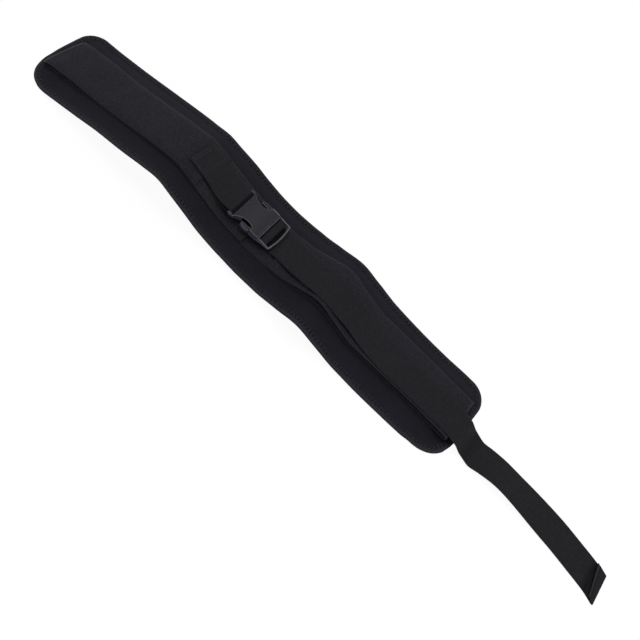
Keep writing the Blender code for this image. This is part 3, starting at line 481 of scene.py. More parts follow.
# how far a wing's near edge curls up off the layer below
def curl(knots, u, y):
    return smooth(knots, u) * np.clip((-y - band["curlFrom"]) / band["curlSpan"], 0, 1) ** 2


def leftWing(u):
    knots = [(leftTurn, float(bandBase(leftTurn)) + 2 * band["fold"])]
    knots += [(at, wingLow + rise) for at, rise in band["leftRise"]]
    return smooth(knots + [(flap["start"] - flap["wingLead"], wingOnFlap), (band["leftEnd"], wingOnFlap)], u)


def rightWing(u):
    knots = [(band["rightEnd"], wingLow)]
    knots += [(band["rightEnd"] + at, wingLow + rise) for at, rise in band["rightRise"]]
    return smooth(knots + [(rightTurn, bandMid + 2 * band["fold"])], u)


# one unbroken run: left wing, fold, lower layer, fold, right wing
def wideBand():
    left = run(band["leftEnd"], leftTurn, leftWing)
    base = run(leftTurn, rightTurn, bandBase)
    right = run(rightTurn, band["rightEnd"], rightWing)
    foldLeft = bend((leftTurn, base[0, 1] + band["fold"]), band["fold"], 90, 270, 17)[1:-1]
    foldRight = bend((rightTurn, base[-1, 1] + band["fold"]), band["fold"], -90, 90, 17)[1:-1]
    path = np.concatenate([left, foldLeft, base, foldRight, right])
    steps = distances(path)
    onFold = 3  # the painted highlight on each fold sits this many points down from its wing
    foldGlints = (float(steps[len(left) + onFold]), float(steps[-len(right) - onFold]))
    station = np.arange(len(path))[:, None]
    wingLeft = station < len(left)
    wingRight = station >= len(path) - len(right)

    def drift(u):
        return smooth(band["drift"], u)

    def lift(u, s):
        y = s * band["width"] / 2
        raised = curl(band["curlLeft"], u, y) * wingLeft + curl(band["curlRight"], u, y) * wingRight
        pulled = sum(np.exp(-((u - at) / band["seamHalf"]) ** 2) for at in band["seam"])
        return raised - pulled * band["seamSink"] * wingLeft - sag(y)

    return *ribbon("wideBand", path, layer["band"], band["width"], drift=drift, lift=lift), foldGlints


# flat length on the band, whose right end lifts in a soft step
def buckleFlap():
    path = run(flap["start"], flap["end"], lambda u: flapMid, 0.003)

    def lift(u, s):
        lip = flap["lip"] * ease((u - flap["end"] + flap["lipReach"]) / flap["lipReach"])
        return lip - sag(s * band["width"] / 2)

    return ribbon("buckleFlap", path, layer["flap"], band["width"], lift=lift)


bandPiece, bandLength, (leftFold, rightFold) = wideBand()
flapPiece, flapLength = buckleFlap()
print("band and flap:", round(bandLength, 3), round(flapLength, 3), "m long")

# narrow webbing: a short strap to the socket and a long one through the ladder, out to the tail
strap = {
    "width": 0.050,
    "socketEnd": band["leftEnd"] - 0.0311,
    "socketShift": 0.002,
    "slack": 0.0030,  # the short strap hangs by this before the bar, more at its near edge
    "slackEnd": 0.004,
    "slackLean": 0.4,
    "beforeWing": 0.003,  # the long strap lies straight this far before the right wing
    "anchor": band["rightEnd"] + 0.0676,  # end of its sewn layer, past which it settles on the wing
    "settle": 0.024,
    "wingDrift": 0.0022,
    "reach": 0.2823,  # the tail's end and where it lies flat, past the pad
    "landing": 0.052,
    "hem": 0.017,
    "hemLift": 0.0016,
    "hemSlant": (0.0014, 0.0043),  # raw end moved on at the middle, and moved back toward the far edge
    # height and sideways drift past the pad's right end
    "route": [
        (-0.011, 0.0192), (-0.001, 0.0160), (0.007, 0.0104), (0.014, 0.0052), (0.023, 0.0020),
        (0.035, 0.0010),
    ],
    "drift": [
        (-0.334, -0.0030), (-0.289, -0.0082), (-0.250, -0.0072), (-0.215, -0.0058), (-0.145, -0.0098),
        (-0.075, -0.0090), (0.000, -0.0092), (0.018, -0.0096), (0.036, -0.0132), (0.052, -0.0112),
        (0.078, -0.0098), (0.110, -0.0112), (0.140, -0.0126), (0.186, -0.0164), (0.232, -0.0236),
        (0.262, -0.0292), (0.2823, -0.0360),
    ],
    "dropShadeAt": 0.021,  # painted shade where it drops off the pad
    "span": [  # slack between the buckle and the second crest
        (0.4914, 0.0), (0.505, 0.0012), (0.525, 0.0022), (0.548, 0.0014), (0.570, 0.0002), (0.585, 0.0),
    ],
    "gapeFrom": 0.2,
    "gape": [  # the near edge stands off the wing before and after the second crest
        (0.500, 0.0), (0.530, 0.0014), (0.565, 0.0004), (0.590, 0.0), (0.608, 0.0012), (0.636, 0.0036),
        (0.668, 0.0016), (0.700, 0.0),
    ],
    "plunge": 0.0046,  # it passes this far below the end bar
    "plungeAt": 0.0130,
    "slotShare": (1.3, 0.7),  # place of the painted slot shade beside the plunge, in wraps
    "roll": 0.0100,  # the tail's near edge rolls up
    "rollAt": 0.092,
    "rollReach": 0.054,
}
buckle = {  # the moulded buckle's own frame and the bars that webbing turns round
    "lift": 0.0058,  # its underside off the flap's end
    "tilt": 0.0475,  # slope beyond that of the belt under it
    "yaw": math.radians(4.8),
    "shift": 0.001,
    "barAt": 0.053,  # the socket's bar, behind the mouth
    "barRadius": 0.0022,
    "below": 0.0058,
    "length": 0.0240,
    "midBar": (0.0071, 0.0107, -0.0010),  # the ladder's inner bar: start, end and height
    "midRadius": 0.0014,
    "endBar": (0.0223, 0.0011),  # its end bar: place and height
    "endRadius": 0.0017,
    "bow": 0.0029,
    "halfWidth": 0.0280,
}
barU = mouth - buckle["barAt"]
endU = mouth + buckle["length"]
fall = float(wave(barU) - wave(endU)) / (endU - barU) + buckle["tilt"]
pitch = math.atan(fall)
flapTop = flapMid + layer["flap"] / 2
mouthZ = float(wave(flap["end"])) + flapTop + buckle["lift"] + buckle["below"] - fall * (mouth - flap["end"])


# place in the buckle's own side view (along, up) to belt (u, z)
def fromBuckle(points):
    x, z = np.array(points).T
    return np.stack([mouth + x * math.cos(pitch) + z * math.sin(pitch),
                     mouthZ - x * math.sin(pitch) + z * math.cos(pitch)], 1)


# in plan the webbing turns with the buckle, fully at its bars and not at all where it lies on a wing
def turnWithBuckle(u, y):
    heldLeft = barU - buckle["barRadius"] - strapStep
    heldRight = endU + buckle["bow"]
    freeRight = band["rightEnd"] - strap["beforeWing"]
    share = ease((u - band["leftEnd"]) / (heldLeft - band["leftEnd"]))
    share = share * ease((freeRight - u) / (freeRight - heldRight))
    along, across, angle = u - mouth, y - buckle["shift"], buckle["yaw"] * share
    return (mouth + along * np.cos(angle) - across * np.sin(angle),
            buckle["shift"] + along * np.sin(angle) + across * np.cos(angle))


# two layers sewn to the left wing, looped round the socket's bar
def socketStrap():
    wrap = buckle["barRadius"] + layer["gap"] + layer["strap"] / 2
    lower = wingOnFlap + onWing
    over = run(strap["socketEnd"], band["leftEnd"], lambda u: lower + strapStep)
    around = fromBuckle(bend((-buckle["barAt"], 0), wrap, 90, -90, 15))
    under = run(band["leftEnd"], strap["socketEnd"], lambda u: lower)
    path = refine(np.concatenate([over, around, under]), 0.003)

    def drift(u):
        return buckle["shift"] + strap["socketShift"] * ease((barU - u) / strap["width"])

    # slack between the wing's end and the bar hangs down toward the flap, most at its near edge
    def lift(u, s):
        share = np.clip((u - band["leftEnd"]) / (barU - strap["slackEnd"] - band["leftEnd"]), 0, 1)
        return -strap["slack"] * np.sin(math.pi * share) ** 2 * (1 - strap["slackLean"] * s)

    return ribbon("socketStrap", path, layer["strap"], strap["width"], drift=drift, lift=lift, lanes=12,
                  turn=turnWithBuckle)


# sewn to the right wing, round the ladder's inner bar, down under its end bar, back over the wing and out to
# the hem
def adjusterStrap():
    midWrap = buckle["midRadius"] + layer["gap"] + layer["strap"] / 2
    endWrap = buckle["endRadius"] + layer["gap"] + layer["strap"] / 2
    left, right, midZ = buckle["midBar"]
    endX, endZ = buckle["endBar"]
    past = buckle["length"] + buckle["bow"]
    low = endZ - endWrap - strap["plunge"]
    local = np.concatenate([
        [(past, low - strapStep), (endX, low - strapStep), (right, midZ - midWrap)],
        bend((left, midZ), midWrap, 270, 90, 15),
        [(right, midZ + midWrap)],
        bend((strap["plungeAt"], midZ), midWrap, 90, 0, 7),
        bend((strap["plungeAt"] + 2 * midWrap, low + midWrap), midWrap, 180, 270, 7),
        [(endX, low), (past, low)],
    ])
    anchored = run(strap["anchor"], band["rightEnd"], lambda u: rightWing(u) + onWing)
    before = np.array([[band["rightEnd"] - strap["beforeWing"], anchored[-1, 1]]])

    def upper(u):
        return rightWing(u) + onWing + strapStep * (1 - ease((u - strap["anchor"]) / strap["settle"]))

    laid = run(band["rightEnd"], rightTurn, upper)
    route = np.array(strap["route"]) + [belt["padLength"], 0]
    floorZ = layer["strap"] / 2
    tip = belt["padLength"] + strap["reach"]
    flatU = np.linspace(belt["padLength"] + strap["landing"], tip - strap["hem"], 13)
    turn = strapStep / 2
    hem = bend((tip - turn - layer["strap"] / 2, floorZ + turn), turn, -90, 90, 11)
    inner = [[tip - strap["hem"], floorZ + 2 * turn + strap["hemLift"]]]
    path = np.concatenate([anchored, before, fromBuckle(local), before + [0, strapStep], laid, route,
                           np.stack([flatU, np.full_like(flatU, floorZ)], 1), hem, inner])

    def drift(u):
        knots = [(mouth + past, buckle["shift"]), (band["rightEnd"], buckle["shift"] + strap["wingDrift"])]
        return smooth(knots + [(belt["padLength"] + at, aside) for at, aside in strap["drift"]], u)

    # the tail rolls its near edge up past the pad, and on the wing the strap follows the curl and the sag
    def lift(u, s):
        away = (u - belt["padLength"] - strap["rollAt"]) / strap["rollReach"]
        rolled = strap["roll"] * np.exp(-away ** 2) * (u > belt["padLength"]) * (1 - s) / 2
        y = s * strap["width"] / 2 + drift(u) - smooth(band["drift"], u)
        carried = (curl(band["curlRight"], u, y) - sag(y)) * (u > band["rightEnd"]) * (u < rightTurn)
        nearShare = np.clip((strap["gapeFrom"] - s) / (strap["gapeFrom"] + 1), 0, 1)
        return rolled + carried + smooth(strap["span"], u) + smooth(strap["gape"], u) * nearShare ** 2

    def slant(far, s):
        share = np.clip(1 - (far[-1] - far) / strap["hem"], 0, 1)
        return share * (strap["hemSlant"][0] - strap["hemSlant"][1] * s)

    path = refine(path, 0.004)
    steps = distances(path)
    aside, up = np.array(strap["slotShare"]) * midWrap
    slot = fromBuckle([(strap["plungeAt"] + aside, low + up)])
    shadeInSlot = float(steps[np.argmin(np.linalg.norm(path - slot, axis=1))])
    shadeOnDrop = float(steps[np.flatnonzero(path[:, 0] > belt["padLength"] + strap["dropShadeAt"])[0]])
    return *ribbon("adjusterStrap", path, layer["strap"], strap["width"], drift=drift, lift=lift, lanes=12,
                   turn=turnWithBuckle, slant=slant), shadeInSlot, shadeOnDrop


socketStrapPiece, socketStrapLength = socketStrap()
adjusterPiece, adjusterLength, slotShadeAlong, dropShadeAlong = adjusterStrap()
print("straps:", round(socketStrapLength, 3), round(adjusterLength, 3), "m long")


# seams on the webbing: double rows across the left wing and the flap, and a box on the short strap's sewn end
seam = {
    "pitch": 0.0034,
    "length": 0.0027,
    "radius": 0.00032,
    "rise": 0.00028,
    "half": 0.038,
    "boxHalf": 0.0220,
    "boxIn": (0.0025, 0.0065, 0.0285),
}


# straight rows of points across and along the webbing, the first following the band's sagging edges
def acrossRow(u, low, high, height):
    y = np.linspace(low, high, 12)
    return onBelt(u, y, wave(u) + height - sag(y))


def alongRow(start, stop, y, height):
    u = np.linspace(start, stop, 24)
    return onBelt(u, y, wave(u) + height)


boxTop = wingOnFlap + onWing + strapStep + layer["strap"] / 2
boxMid = buckle["shift"] + strap["socketShift"]
boxY = (boxMid - seam["boxHalf"], boxMid + seam["boxHalf"])
boxU = [strap["socketEnd"] + into for into in seam["boxIn"]]
rows = []
for u in band["seam"]:
    wingTop = float(leftWing(u)) + layer["band"] / 2
    rows.append(acrossRow(u, -seam["half"], seam["half"], wingTop - band["seamSink"]))
for into in flap["seamIn"]:
    rows.append(acrossRow(flap["end"] - into, -seam["half"], seam["half"], flapTop))
rows += [acrossRow(u, *boxY, boxTop) for u in boxU]
rows += [alongRow(boxU[0], boxU[-1], y, boxTop) for y in boxY]
seamPiece = stitches("webbingSeams", rows, seam)
print("seams:", len(seamPiece.data.polygons), "faces")


# buckle: copies of the moulded solids, remeshed finely and eased so that every edge is rounded
moulding = {"voxel": 0.00042, "soften": 0.5, "ease": 5}  # cell size, then strength and passes of the easing
horn = {"at": (-0.0532, 0.0270, 0.0020), "radii": (0.0042, 0.0024, 0.0020)}  # tips beside the socket's bar


# place in the buckle's own frame (along, across, up) to world
def inBuckle(x, y, z):
    (u, height), = fromBuckle([(x, z)])
    along, yaw = u - mouth, buckle["yaw"]
    spot = onBelt(mouth + along * math.cos(yaw) - y * math.sin(yaw),
                  buckle["shift"] + along * math.sin(yaw) + y * math.cos(yaw), 0)
    slope = math.tan(math.radians(float(smooth(belt["twist"], mouth))))
    return np.array([spot[0], spot[1], height + y * slope])


# matrix that makes a unit ball an ellipsoid in the buckle's frame: its centre, and its three tips seen from
# there
def ballMatrix(place, radii):
    centre = inBuckle(*place)
    tips = [inBuckle(*(np.array(place) + tip)) - centre for tip in np.diag(radii)]
    return Matrix.Translation(centre) @ Matrix(np.transpose(tips).tolist()).to_4x4()


# solid of the frame with rounded lumps added to it, made one skin of even cells and then eased
def moulded(name, node, lumps=()):
    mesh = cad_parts[node].data.copy()
    mesh.name = name
    work = bmesh.new()
    work.from_mesh(mesh)
    bmesh.ops.remove_doubles(work, verts=work.verts, dist=1e-6)
    for place, radii in lumps:
        bmesh.ops.create_uvsphere(work, u_segments=24, v_segments=12, radius=1,
                                  matrix=ballMatrix(place, radii))
    work.to_mesh(mesh)
    work.free()
    made = bpy.data.objects.new(name, mesh)
    bpy.context.scene.collection.objects.link(made)
    remesh = made.modifiers.new("remesh", "REMESH")
    remesh.mode = "VOXEL"
    remesh.voxel_size = moulding["voxel"]
    soften = made.modifiers.new("soften", "SMOOTH")
    soften.factor = moulding["soften"]
    soften.iterations = moulding["ease"]
    shaped = made.evaluated_get(bpy.context.evaluated_depsgraph_get())
    made.data = bpy.data.meshes.new_from_object(shaped)
    made.modifiers.clear()
    made.data.name = name
    made.data.materials.clear()
    made.data.shade_smooth()
    return made


horns = [(np.array(horn["at"]) * [1, side, 1], horn["radii"]) for side in (-1, 1)]
socketPiece = moulded("buckleSocket", "buckle_socket", horns)
malePiece = moulded("buckleMale", "buckle_male")
armNear = moulded("releaseArmNear", "release_arm_near")
armFar = moulded("releaseArmFar", "release_arm_far")
print("buckle:", len(socketPiece.data.polygons), len(malePiece.data.polygons), "faces")


# materials: short names for the nodes that they are built of
def feed(tree, socket, value):
    if isinstance(value, bpy.types.NodeSocket):
        tree.links.new(value, socket)
    else:
        socket.default_value = value


def add(tree, kind, inputs=None, **settings):
    made = tree.nodes.new("ShaderNode" + kind)
    for key, value in settings.items():
        setattr(made, key, value)
    for key, value in (inputs or {}).items():
        feed(tree, made.inputs[key], value)
    return made


def calc(tree, operation, *values):
    return add(tree, "Math", dict(enumerate(values)), operation=operation).outputs[0]


def mixColour(tree, factor, a, b):
    return add(tree, "Mix", {0: factor, 6: a, 7: b}, data_type="RGBA").outputs[2]


# the range from low to high spread over another one, and held at its ends
def spread(tree, value, low, high, to0, to1):
    return add(tree, "MapRange", {0: value, 1: low, 2: high, 3: to0, 4: to1}).outputs[0]


def noise(tree, body, scale, detail=2.0):
    return add(tree, "TexNoise", {"Vector": body, "Scale": scale, "Detail": detail}).outputs[0]


# sine or cosine of a length, one turn in each pitch
def ripples(tree, kind, value, pitch):
    return calc(tree, kind, calc(tree, "MULTIPLY", value, 2 * math.pi / pitch))


# distance from a centre line
def offLine(tree, value, centre):
    return calc(tree, "ABSOLUTE", calc(tree, "SUBTRACT", value, centre))


def newMaterial(name):
    made = bpy.data.materials.new(name)
    made.use_nodes = True
    return made, made.node_tree, made.node_tree.nodes["Principled BSDF"]


# near-black with the dye's slight violet: blue times the tint, green down by a sixth of what the tint adds
def grey(value, tint):
    return (value, value * (1 - (tint - 1) / 6), value * tint, 1)


# a share of one of a finish's own tones
def tone(spec, key, share=1):
    return grey(spec[key] * share, spec["tint"])


def relief(tree, shader, height, strength, distance):
    bump = add(tree, "Bump", {"Strength": strength, "Distance": distance, "Height": height})
    feed(tree, shader.inputs["Normal"], bump.outputs[0])


shineTint = (0.96, 0.93, 1.0, 1)  # of a pale shine on cloth


def shine(shader, spec, rough):
    shader.inputs["Specular IOR Level"].default_value = spec["gloss"]
    shader.inputs["Specular Tint"].default_value = shineTint
    shader.inputs["Sheen Weight"].default_value = spec["sheen"]
    shader.inputs["Sheen Tint"].default_value = shineTint
    shader.inputs["Sheen Roughness"].default_value = rough


# woven tape: ribs along and across on its own map in metres, flecks, slow patches of wear, a paler selvedge
# with painted light on its edges, then its own lines, most of them painted highlights and painted shade, and
# needle holes
def wovenMaterial(name, spec):
    made, tree, shader = newMaterial(name)
    place = add(tree, "UVMap", uv_map="weave").outputs[0]
    along, across = add(tree, "SeparateXYZ", {0: place}).outputs[:2]
    weft = ripples(tree, "SINE", along, spec["pitchAlong"])
    warp = ripples(tree, "SINE", across, spec["pitchAcross"])
    cell = calc(tree, "MULTIPLY_ADD", calc(tree, "MULTIPLY", weft, warp), 0.5, 0.5)
    body = add(tree, "TexCoord").outputs["Object"]
    fibre = noise(tree, body, 1400.0)
    patch = noise(tree, body, 22.0, 3.0)
    fleck = noise(tree, body, spec["fleckScale"])
    height = calc(tree, "ADD", cell, calc(tree, "MULTIPLY", fibre, 0.5))
    colour = mixColour(tree, spread(tree, height, 0.1, 1.3, 0, 1), tone(spec, "dark"), tone(spec, "light"))
    paler = spread(tree, fleck, 0.42, 0.62, 0, spec["fleck"])
    darker = spread(tree, fleck, 0.46, 0.34, 0, spec["fleck"])
    colour = mixColour(tree, paler, colour, tone(spec, "light", 1.7))
    colour = mixColour(tree, darker, colour, tone(spec, "dark", 0.6))
    colour = mixColour(tree, spread(tree, patch, 0.35, 0.7, 0, 0.30), colour, tone(spec, "light", 1.15))
    if "litSelvedge" in spec:  # selvedge, paler in its own colour and with painted light on its rounded edges: from, to, how much
        litSelvedge = spread(tree, calc(tree, "ABSOLUTE", across), *spec["litSelvedge"][:2], 0, spec["litSelvedge"][2])
        colour = mixColour(tree, litSelvedge, colour, tone(spec, "light", 1.6))
    for value, centre, reach, core, amount, shade in spec["lines"]:
        off = offLine(tree, {"along": along, "across": across}[value], centre)
        colour = mixColour(tree, spread(tree, off, reach, core, 0, amount), colour, grey(shade, spec["tint"]))
    if "holes" in spec:
        row, step = spec["holes"]
        between = spread(tree, ripples(tree, "COSINE", along, step), 0.0, 0.7, 1, 0)
        beside = spread(tree, offLine(tree, across, row), 0.0010, 0.0020, 0.85, 0)
        colour = mixColour(tree, calc(tree, "MULTIPLY", between, beside), colour, tone(spec, "dark", 0.2))
    feed(tree, shader.inputs["Base Color"], colour)
    feed(tree, shader.inputs["Roughness"], spread(tree, fibre, 0.3, 0.7, 0.62, 0.85))
    relief(tree, shader, height, 0.55, spec["depth"])
    shine(shader, spec, 0.45)
    return made


# knitted face cloth of the pad: fine cells, soft sheen, faint rubbed patches, painted shade toward the band
# in the middle and painted light along the far side
def padMaterial(name, spec):
    made, tree, shader = newMaterial(name)
    body = add(tree, "TexCoord").outputs["Object"]
    knit = add(tree, "TexVoronoi", {"Vector": body, "Scale": 950.0}).outputs["Distance"]
    fuzz = noise(tree, body, 1700.0)
    patch = noise(tree, body, 14.0, 4.0)
    fleck = noise(tree, body, 260.0)
    height = calc(tree, "ADD", knit, calc(tree, "MULTIPLY", fuzz, 0.6))
    colour = mixColour(tree, spread(tree, height, 0.3, 1.1, 0, 1), tone(spec, "dark"), tone(spec, "light"))
    paler = spread(tree, fleck, 0.42, 0.65, 0, spec["fleck"])
    colour = mixColour(tree, paler, colour, tone(spec, "light", 1.6))
    colour = mixColour(tree, spread(tree, patch, 0.4, 0.72, 0, 0.3), colour, tone(spec, "light", 1.3))
    aside = add(tree, "SeparateXYZ", {0: body}).outputs[1]
    off = calc(tree, "ABSOLUTE", aside)
    # painted shade toward and beside the band
    colour = mixColour(tree, spread(tree, off, *spec["shadeNearBand"], 0), colour, tone(spec, "dark", 0.5))
    # painted light along the far side
    colour = mixColour(tree, spread(tree, aside, *spec["farSideLight"]), colour, tone(spec, "light", 2.0))
    feed(tree, shader.inputs["Base Color"], colour)
    feed(tree, shader.inputs["Roughness"], spread(tree, fuzz, 0.3, 0.7, 0.68, 0.9))
    relief(tree, shader, height, 0.35, 0.0002)
    shine(shader, spec, 0.5)
    return made


# moulded plastic: satin grain, painted light on faces turned to the near or far side, scuffs with painted
# highlights where edges stand proud
def plasticMaterial(name, spec):
    made, tree, shader = newMaterial(name)
    body = add(tree, "TexCoord").outputs["Object"]
    grain = noise(tree, body, 2600.0, 3.0)
    scuff = noise(tree, body, 160.0, 5.0)
    shape = add(tree, "NewGeometry")
    proud = spread(tree, shape.outputs["Pointiness"], 0.505, 0.56, 0, 1)
    sideLitShare = calc(tree, "ABSOLUTE", add(tree, "SeparateXYZ", {0: shape.outputs["Normal"]}).outputs[1])
    # scuffs with painted highlights where edges stand proud
    scuffGlint = calc(tree, "MULTIPLY", proud, spread(tree, scuff, 0.3, 0.6, 0.7, 1))
    uneven = spread(tree, scuff, 0.3, 0.75, 0, 1)
    colour = mixColour(tree, uneven, tone(spec, "dark"), tone(spec, "light"))
    # painted light on faces turned to the near or far side
    colour = mixColour(tree, spread(tree, sideLitShare, 0.30, 0.80, 0, 0.8), colour, tone(spec, "side"))
    x, y = add(tree, "SeparateXYZ", {0: body}).outputs[:2]
    past = calc(tree, "MULTIPLY_ADD", y, math.tan(buckle["yaw"]), x)
    if "scuffGlintFrom" in spec:  # scuffs and painted edge highlights only on the bars past the inner slot
        scuffGlint = calc(tree, "MULTIPLY", scuffGlint, spread(tree, past, *spec["scuffGlintFrom"], 0.1, 1))
    if "farHighlight" in spec:  # broad painted highlight along the far side of the collar
        turned = calc(tree, "MULTIPLY_ADD", x, -math.tan(buckle["yaw"]), y)
        farGlint = calc(tree, "MULTIPLY", spread(tree, turned, *spec["farHighlight"], 0, 0.75),
                     spread(tree, past, *spec["collar"], 0, 1))
        scuffGlint = calc(tree, "MAXIMUM", scuffGlint, farGlint)
    colour = mixColour(tree, scuffGlint, colour, grey(spec["scuffGlint"], spec["scuffGlintTint"]))
    feed(tree, shader.inputs["Base Color"], colour)
    feed(tree, shader.inputs["Roughness"], spread(tree, scuff, 0.3, 0.75, 0.40, 0.48))
    relief(tree, shader, grain, 0.12, 0.0001)
    shader.inputs["Specular IOR Level"].default_value = spec["gloss"]
    shader.inputs["Specular Tint"].default_value = (0.86, 0.90, 1.0, 1)
    return made


# twisted sewing thread
def threadMaterial(name, spec):
    made, tree, shader = newMaterial(name)
    body = add(tree, "TexCoord").outputs["Object"]
    twist = noise(tree, body, 2200.0)
    colour = mixColour(tree, twist, tone(spec, "dark"), tone(spec, "light"))
    feed(tree, shader.inputs["Base Color"], colour)
    feed(tree, shader.inputs["Roughness"], spread(tree, twist, 0.3, 0.7, 0.45, 0.65))
    shader.inputs["Specular IOR Level"].default_value = spec["gloss"]
    shader.inputs["Sheen Weight"].default_value = spec["sheen"]
    return made


mouthX = mouth - belt["overall"] / 2
mouthY = float(onBelt(mouth, buckle["shift"], 0)[1])
farSide = mouthY - mouthX * math.tan(buckle["yaw"]) + buckle["halfWidth"] / math.cos(buckle["yaw"])
# lines are (direction, centre, reach, full within, how much, shade)
finish = {
    "wide": {
        "pitchAlong": 0.0024, "pitchAcross": 0.0018, "dark": 0.0061, "light": 0.0122, "tint": 1.27,
        "depth": 0.0004, "fleck": 0.40, "fleckScale": 300.0, "litSelvedge": (0.0378, 0.0398, 0.5),
        "gloss": 0.06, "sheen": 0.03,
        "lines": [
            ("along", leftFold, 0.0034, 0.0008, 0.85, 0.055),  # painted highlights on the folds
            ("along", rightFold, 0.0030, 0.0008, 0.40, 0.030),
            ("along", rightFold + 0.20, 0.2000, 0.1600, 0.065, 0.030),  # painted light: the right wing is lit a little paler
        ],
    },
    "narrow": {
        "pitchAlong": 0.0022, "pitchAcross": 0.0016, "dark": 0.0062, "light": 0.0122, "tint": 1.15,
        "depth": 0.0003, "fleck": 0.22, "fleckScale": 300.0, "litSelvedge": (0.0232, 0.0248, 0.45),
        "gloss": 0.06, "sheen": 0.025,
    },
    # the short strap's line is painted shade where it goes into the socket's slot
    "looped": {"lines": [("along", socketStrapLength / 2 - 0.0042, 0.0026, 0.0014, 0.90, 0.0010)]},
    "laced": {
        "lines": [
            ("along", slotShadeAlong + 0.0044, 0.0068, 0.0056, 1.0, 0.0003),  # painted shade in the ladder's slot
            # painted shade where the tail drops off the pad
            ("along", dropShadeAlong, 0.0130, 0.0, 0.45, 0.0030),
            ("along", adjusterLength - 0.0365, 0.0100, 0.0, 0.80, 0.0015),  # painted shade under the hem's raw end
            ("along", adjusterLength - 0.0016, 0.0018, 0.0008, 0.60, 0.0300),
            ("along", adjusterLength - 0.0046, 0.0016, 0.0006, 0.80, 0.0030),
        ],
    },
    "flap": {"dark": 0.0068, "light": 0.0136, "tint": 1.15, "lines": []},
    "tape": {
        "pitchAlong": 0.0016, "pitchAcross": 0.0021, "dark": 0.0060, "light": 0.0135, "tint": 1.24,
        "depth": 0.0003, "fleck": 0.60, "fleckScale": 420.0, "gloss": 0.06, "sheen": 0.02,
        "holes": (rowAround, binding["pitch"]),
        "lines": [("across", rowAround - 0.0064, 0.0036, 0.0009, 0.60, 0.024)],  # paler along the tape's rounded outer edge
    },
    "pad": {
        "dark": 0.0053, "light": 0.0096, "tint": 1.33, "fleck": 0.25, "gloss": 0.06, "sheen": 0.02,
        # painted shade toward and beside the band, and painted light along the pad's far side
        "shadeNearBand": (0.042, 0.064, 0.26), "farSideLight": (0.048, 0.068, 0, 0.36),  # from, to and how much
    },
    "plastic": {
        # the side tone is painted light on faces turned aside; the worn tone is for scuffs with painted
        # highlights on proud edges
        "dark": 0.0054, "light": 0.0084, "side": 0.050, "tint": 1.35, "scuffGlint": 0.13, "scuffGlintTint": 1.12,
        "gloss": 0.14, "farHighlight": (farSide - 0.0026, farSide - 0.0012),
        "collar": (mouthX - 0.0150, mouthX - 0.0120),
    },
    "frame": {
        # here too the side tone is painted light, and the worn tone is for scuffs with painted highlights on
        # proud edges
        "dark": 0.0200, "light": 0.0280, "side": 0.080, "tint": 1.20, "scuffGlint": 0.18, "scuffGlintTint": 1.12,
        "gloss": 0.20, "scuffGlintFrom": (mouthX + 0.0050, mouthX + 0.0075),
    },
    "thread": {"dark": 0.0072, "light": 0.0168, "tint": 1.33, "gloss": 0.3, "sheen": 0.05},
}
for kind, basis in (("looped", "narrow"), ("laced", "narrow"), ("flap", "wide")):
    finish[kind] = {**finish[basis], **finish[kind]}
wideWebbing = wovenMaterial("wideWebbing", finish["wide"])
flapWebbing = wovenMaterial("flapWebbing", finish["flap"])
lacedWebbing = wovenMaterial("lacedWebbing", finish["laced"])
loopedWebbing = wovenMaterial("loopedWebbing", finish["looped"])
tapeCloth = wovenMaterial("bindingCloth", finish["tape"])
padCloth = padMaterial("padCloth", finish["pad"])
plastic = plasticMaterial("buckleMoulding", finish["plastic"])
framePlastic = plasticMaterial("frameMoulding", finish["frame"])
sewing = threadMaterial("sewingThread", finish["thread"])
for piece, look in [
    (padPiece, padCloth), (bindingPiece, tapeCloth), (bindingTopRow, sewing), (bindingLowRow, sewing),
    (bandPiece, wideWebbing), (flapPiece, flapWebbing), (seamPiece, sewing),
    (socketStrapPiece, loopedWebbing), (adjusterPiece, lacedWebbing),
    (socketPiece, plastic), (malePiece, framePlastic), (armNear, plastic), (armFar, plastic),
]:
    piece.data.materials.append(look)
print("materials set")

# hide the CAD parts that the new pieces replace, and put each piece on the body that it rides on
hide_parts("pad_cover", "foam_core", "pad_lining")
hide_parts("edge_binding")
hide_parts("wide_band")
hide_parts("buckle_flap")
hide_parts("socket_strap")
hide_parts("adjuster_strap")
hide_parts("buckle_socket")
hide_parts("buckle_male")
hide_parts("release_arm_near")
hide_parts("release_arm_far")
for piece in (padPiece, bindingPiece, bindingTopRow, bindingLowRow, bandPiece, flapPiece, seamPiece,
              adjusterPiece, malePiece):
    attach(piece, "belt")
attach(socketPiece, "socket")
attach(armNear, "arm_near")
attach(armFar, "arm_far")
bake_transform(socketStrapPiece)

# floor, light and camera
studio = {"floor": 0.95, "white": 0.94, "world": 0.37, "floorHalf": 6.0, "floorDrop": 0.0004}
lamps = {
    "keyLight": {"place": (-1.2, 1.0, 5.6), "size": (4.4, 3.8), "power": 212.0},
    "frontLight": {"place": (0.5, -2.0, 1.0), "size": (2.0, 1.0), "power": 9.0},
    "fillLight": {"place": (1.2, 0.6, 1.7), "size": (1.6, 1.2), "power": 8.5},
}
view = {
    "lens": 36.1065,
    "sensor": 36,
    "place": (0.113583, -0.519198, 0.810136),
    "turn": (26.7081, -17.5235, 40.8655),
}


# 1 for what the camera, a reflection or a clear piece sees of the background, 0 for what lights the belt
def seenDirectly(tree):
    path = add(tree, "LightPath")
    return calc(tree, "MAXIMUM", path.outputs["Is Camera Ray"],
                calc(tree, "MAXIMUM", path.outputs["Is Glossy Ray"], path.outputs["Is Transmission Ray"]))


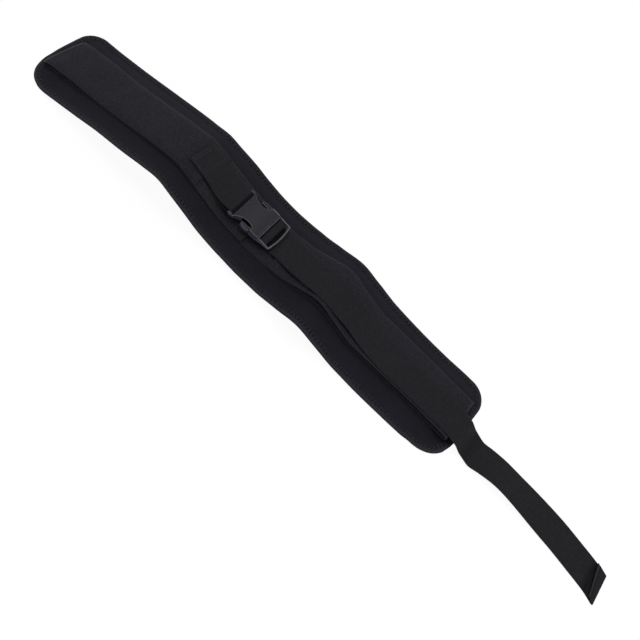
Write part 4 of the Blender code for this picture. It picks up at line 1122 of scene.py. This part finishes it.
# floor for the camera is mostly plain white, with a little of the lit surface left in it for the shadow
def whiteFloor():
    mesh = bpy.data.meshes.new("floor")
    half = studio["floorHalf"]
    corners = [(-half, -half, 0), (half, -half, 0), (half, half, 0), (-half, half, 0)]
    mesh.from_pydata(corners, [], [(0, 1, 2, 3)])
    floor = bpy.data.objects.new("floor", mesh)
    bpy.context.scene.collection.objects.link(floor)
    floor.location.z = -studio["floorDrop"]
    made, tree, shader = newMaterial("floorPaper")
    tree.nodes.remove(shader)
    lit = add(tree, "BsdfDiffuse", {"Color": (studio["floor"],) * 3 + (1,)})
    plain = add(tree, "Emission", {"Color": (1, 1, 1, 1), "Strength": 1.0})
    share = calc(tree, "MULTIPLY", seenDirectly(tree), studio["white"])
    mixed = add(tree, "MixShader", {0: share, 1: lit.outputs[0], 2: plain.outputs[0]})
    tree.links.new(mixed.outputs[0], tree.nodes["Material Output"].inputs[0])
    mesh.materials.append(made)


# lamp turned to face the belt's middle
def softbox(name, spec):
    lamp = bpy.data.lights.new(name, "AREA")
    lamp.shape = "RECTANGLE"
    lamp.size, lamp.size_y = spec["size"]
    lamp.energy = spec["power"]
    made = bpy.data.objects.new(name, lamp)
    bpy.context.scene.collection.objects.link(made)
    x, y, z = spec["place"]
    made.location = spec["place"]
    made.rotation_euler = (math.atan2(math.hypot(x, y), z), 0, math.atan2(-y, -x) - math.pi / 2)


whiteFloor()
for lampName, lampSpec in lamps.items():
    softbox(lampName, lampSpec)
world = bpy.data.worlds.new("studio")
world.use_nodes = True
sky = world.node_tree
sky.nodes["Background"].inputs["Color"].default_value = (1, 1, 1, 1)
strength = calc(sky, "MULTIPLY_ADD", seenDirectly(sky), 1 - studio["world"], studio["world"])
feed(sky, sky.nodes["Background"].inputs["Strength"], strength)
bpy.context.scene.world = world
bpy.context.scene.view_settings.view_transform = "Standard"

lens = bpy.data.cameras.new("camera")
lens.lens = view["lens"]
lens.sensor_width = view["sensor"]
lens.clip_start = 0.01
camera = bpy.data.objects.new("camera", lens)
bpy.context.scene.collection.objects.link(camera)
camera.location = view["place"]
camera.rotation_euler = [math.radians(a) for a in view["turn"]]
bpy.context.scene.camera = camera
print("stage set")
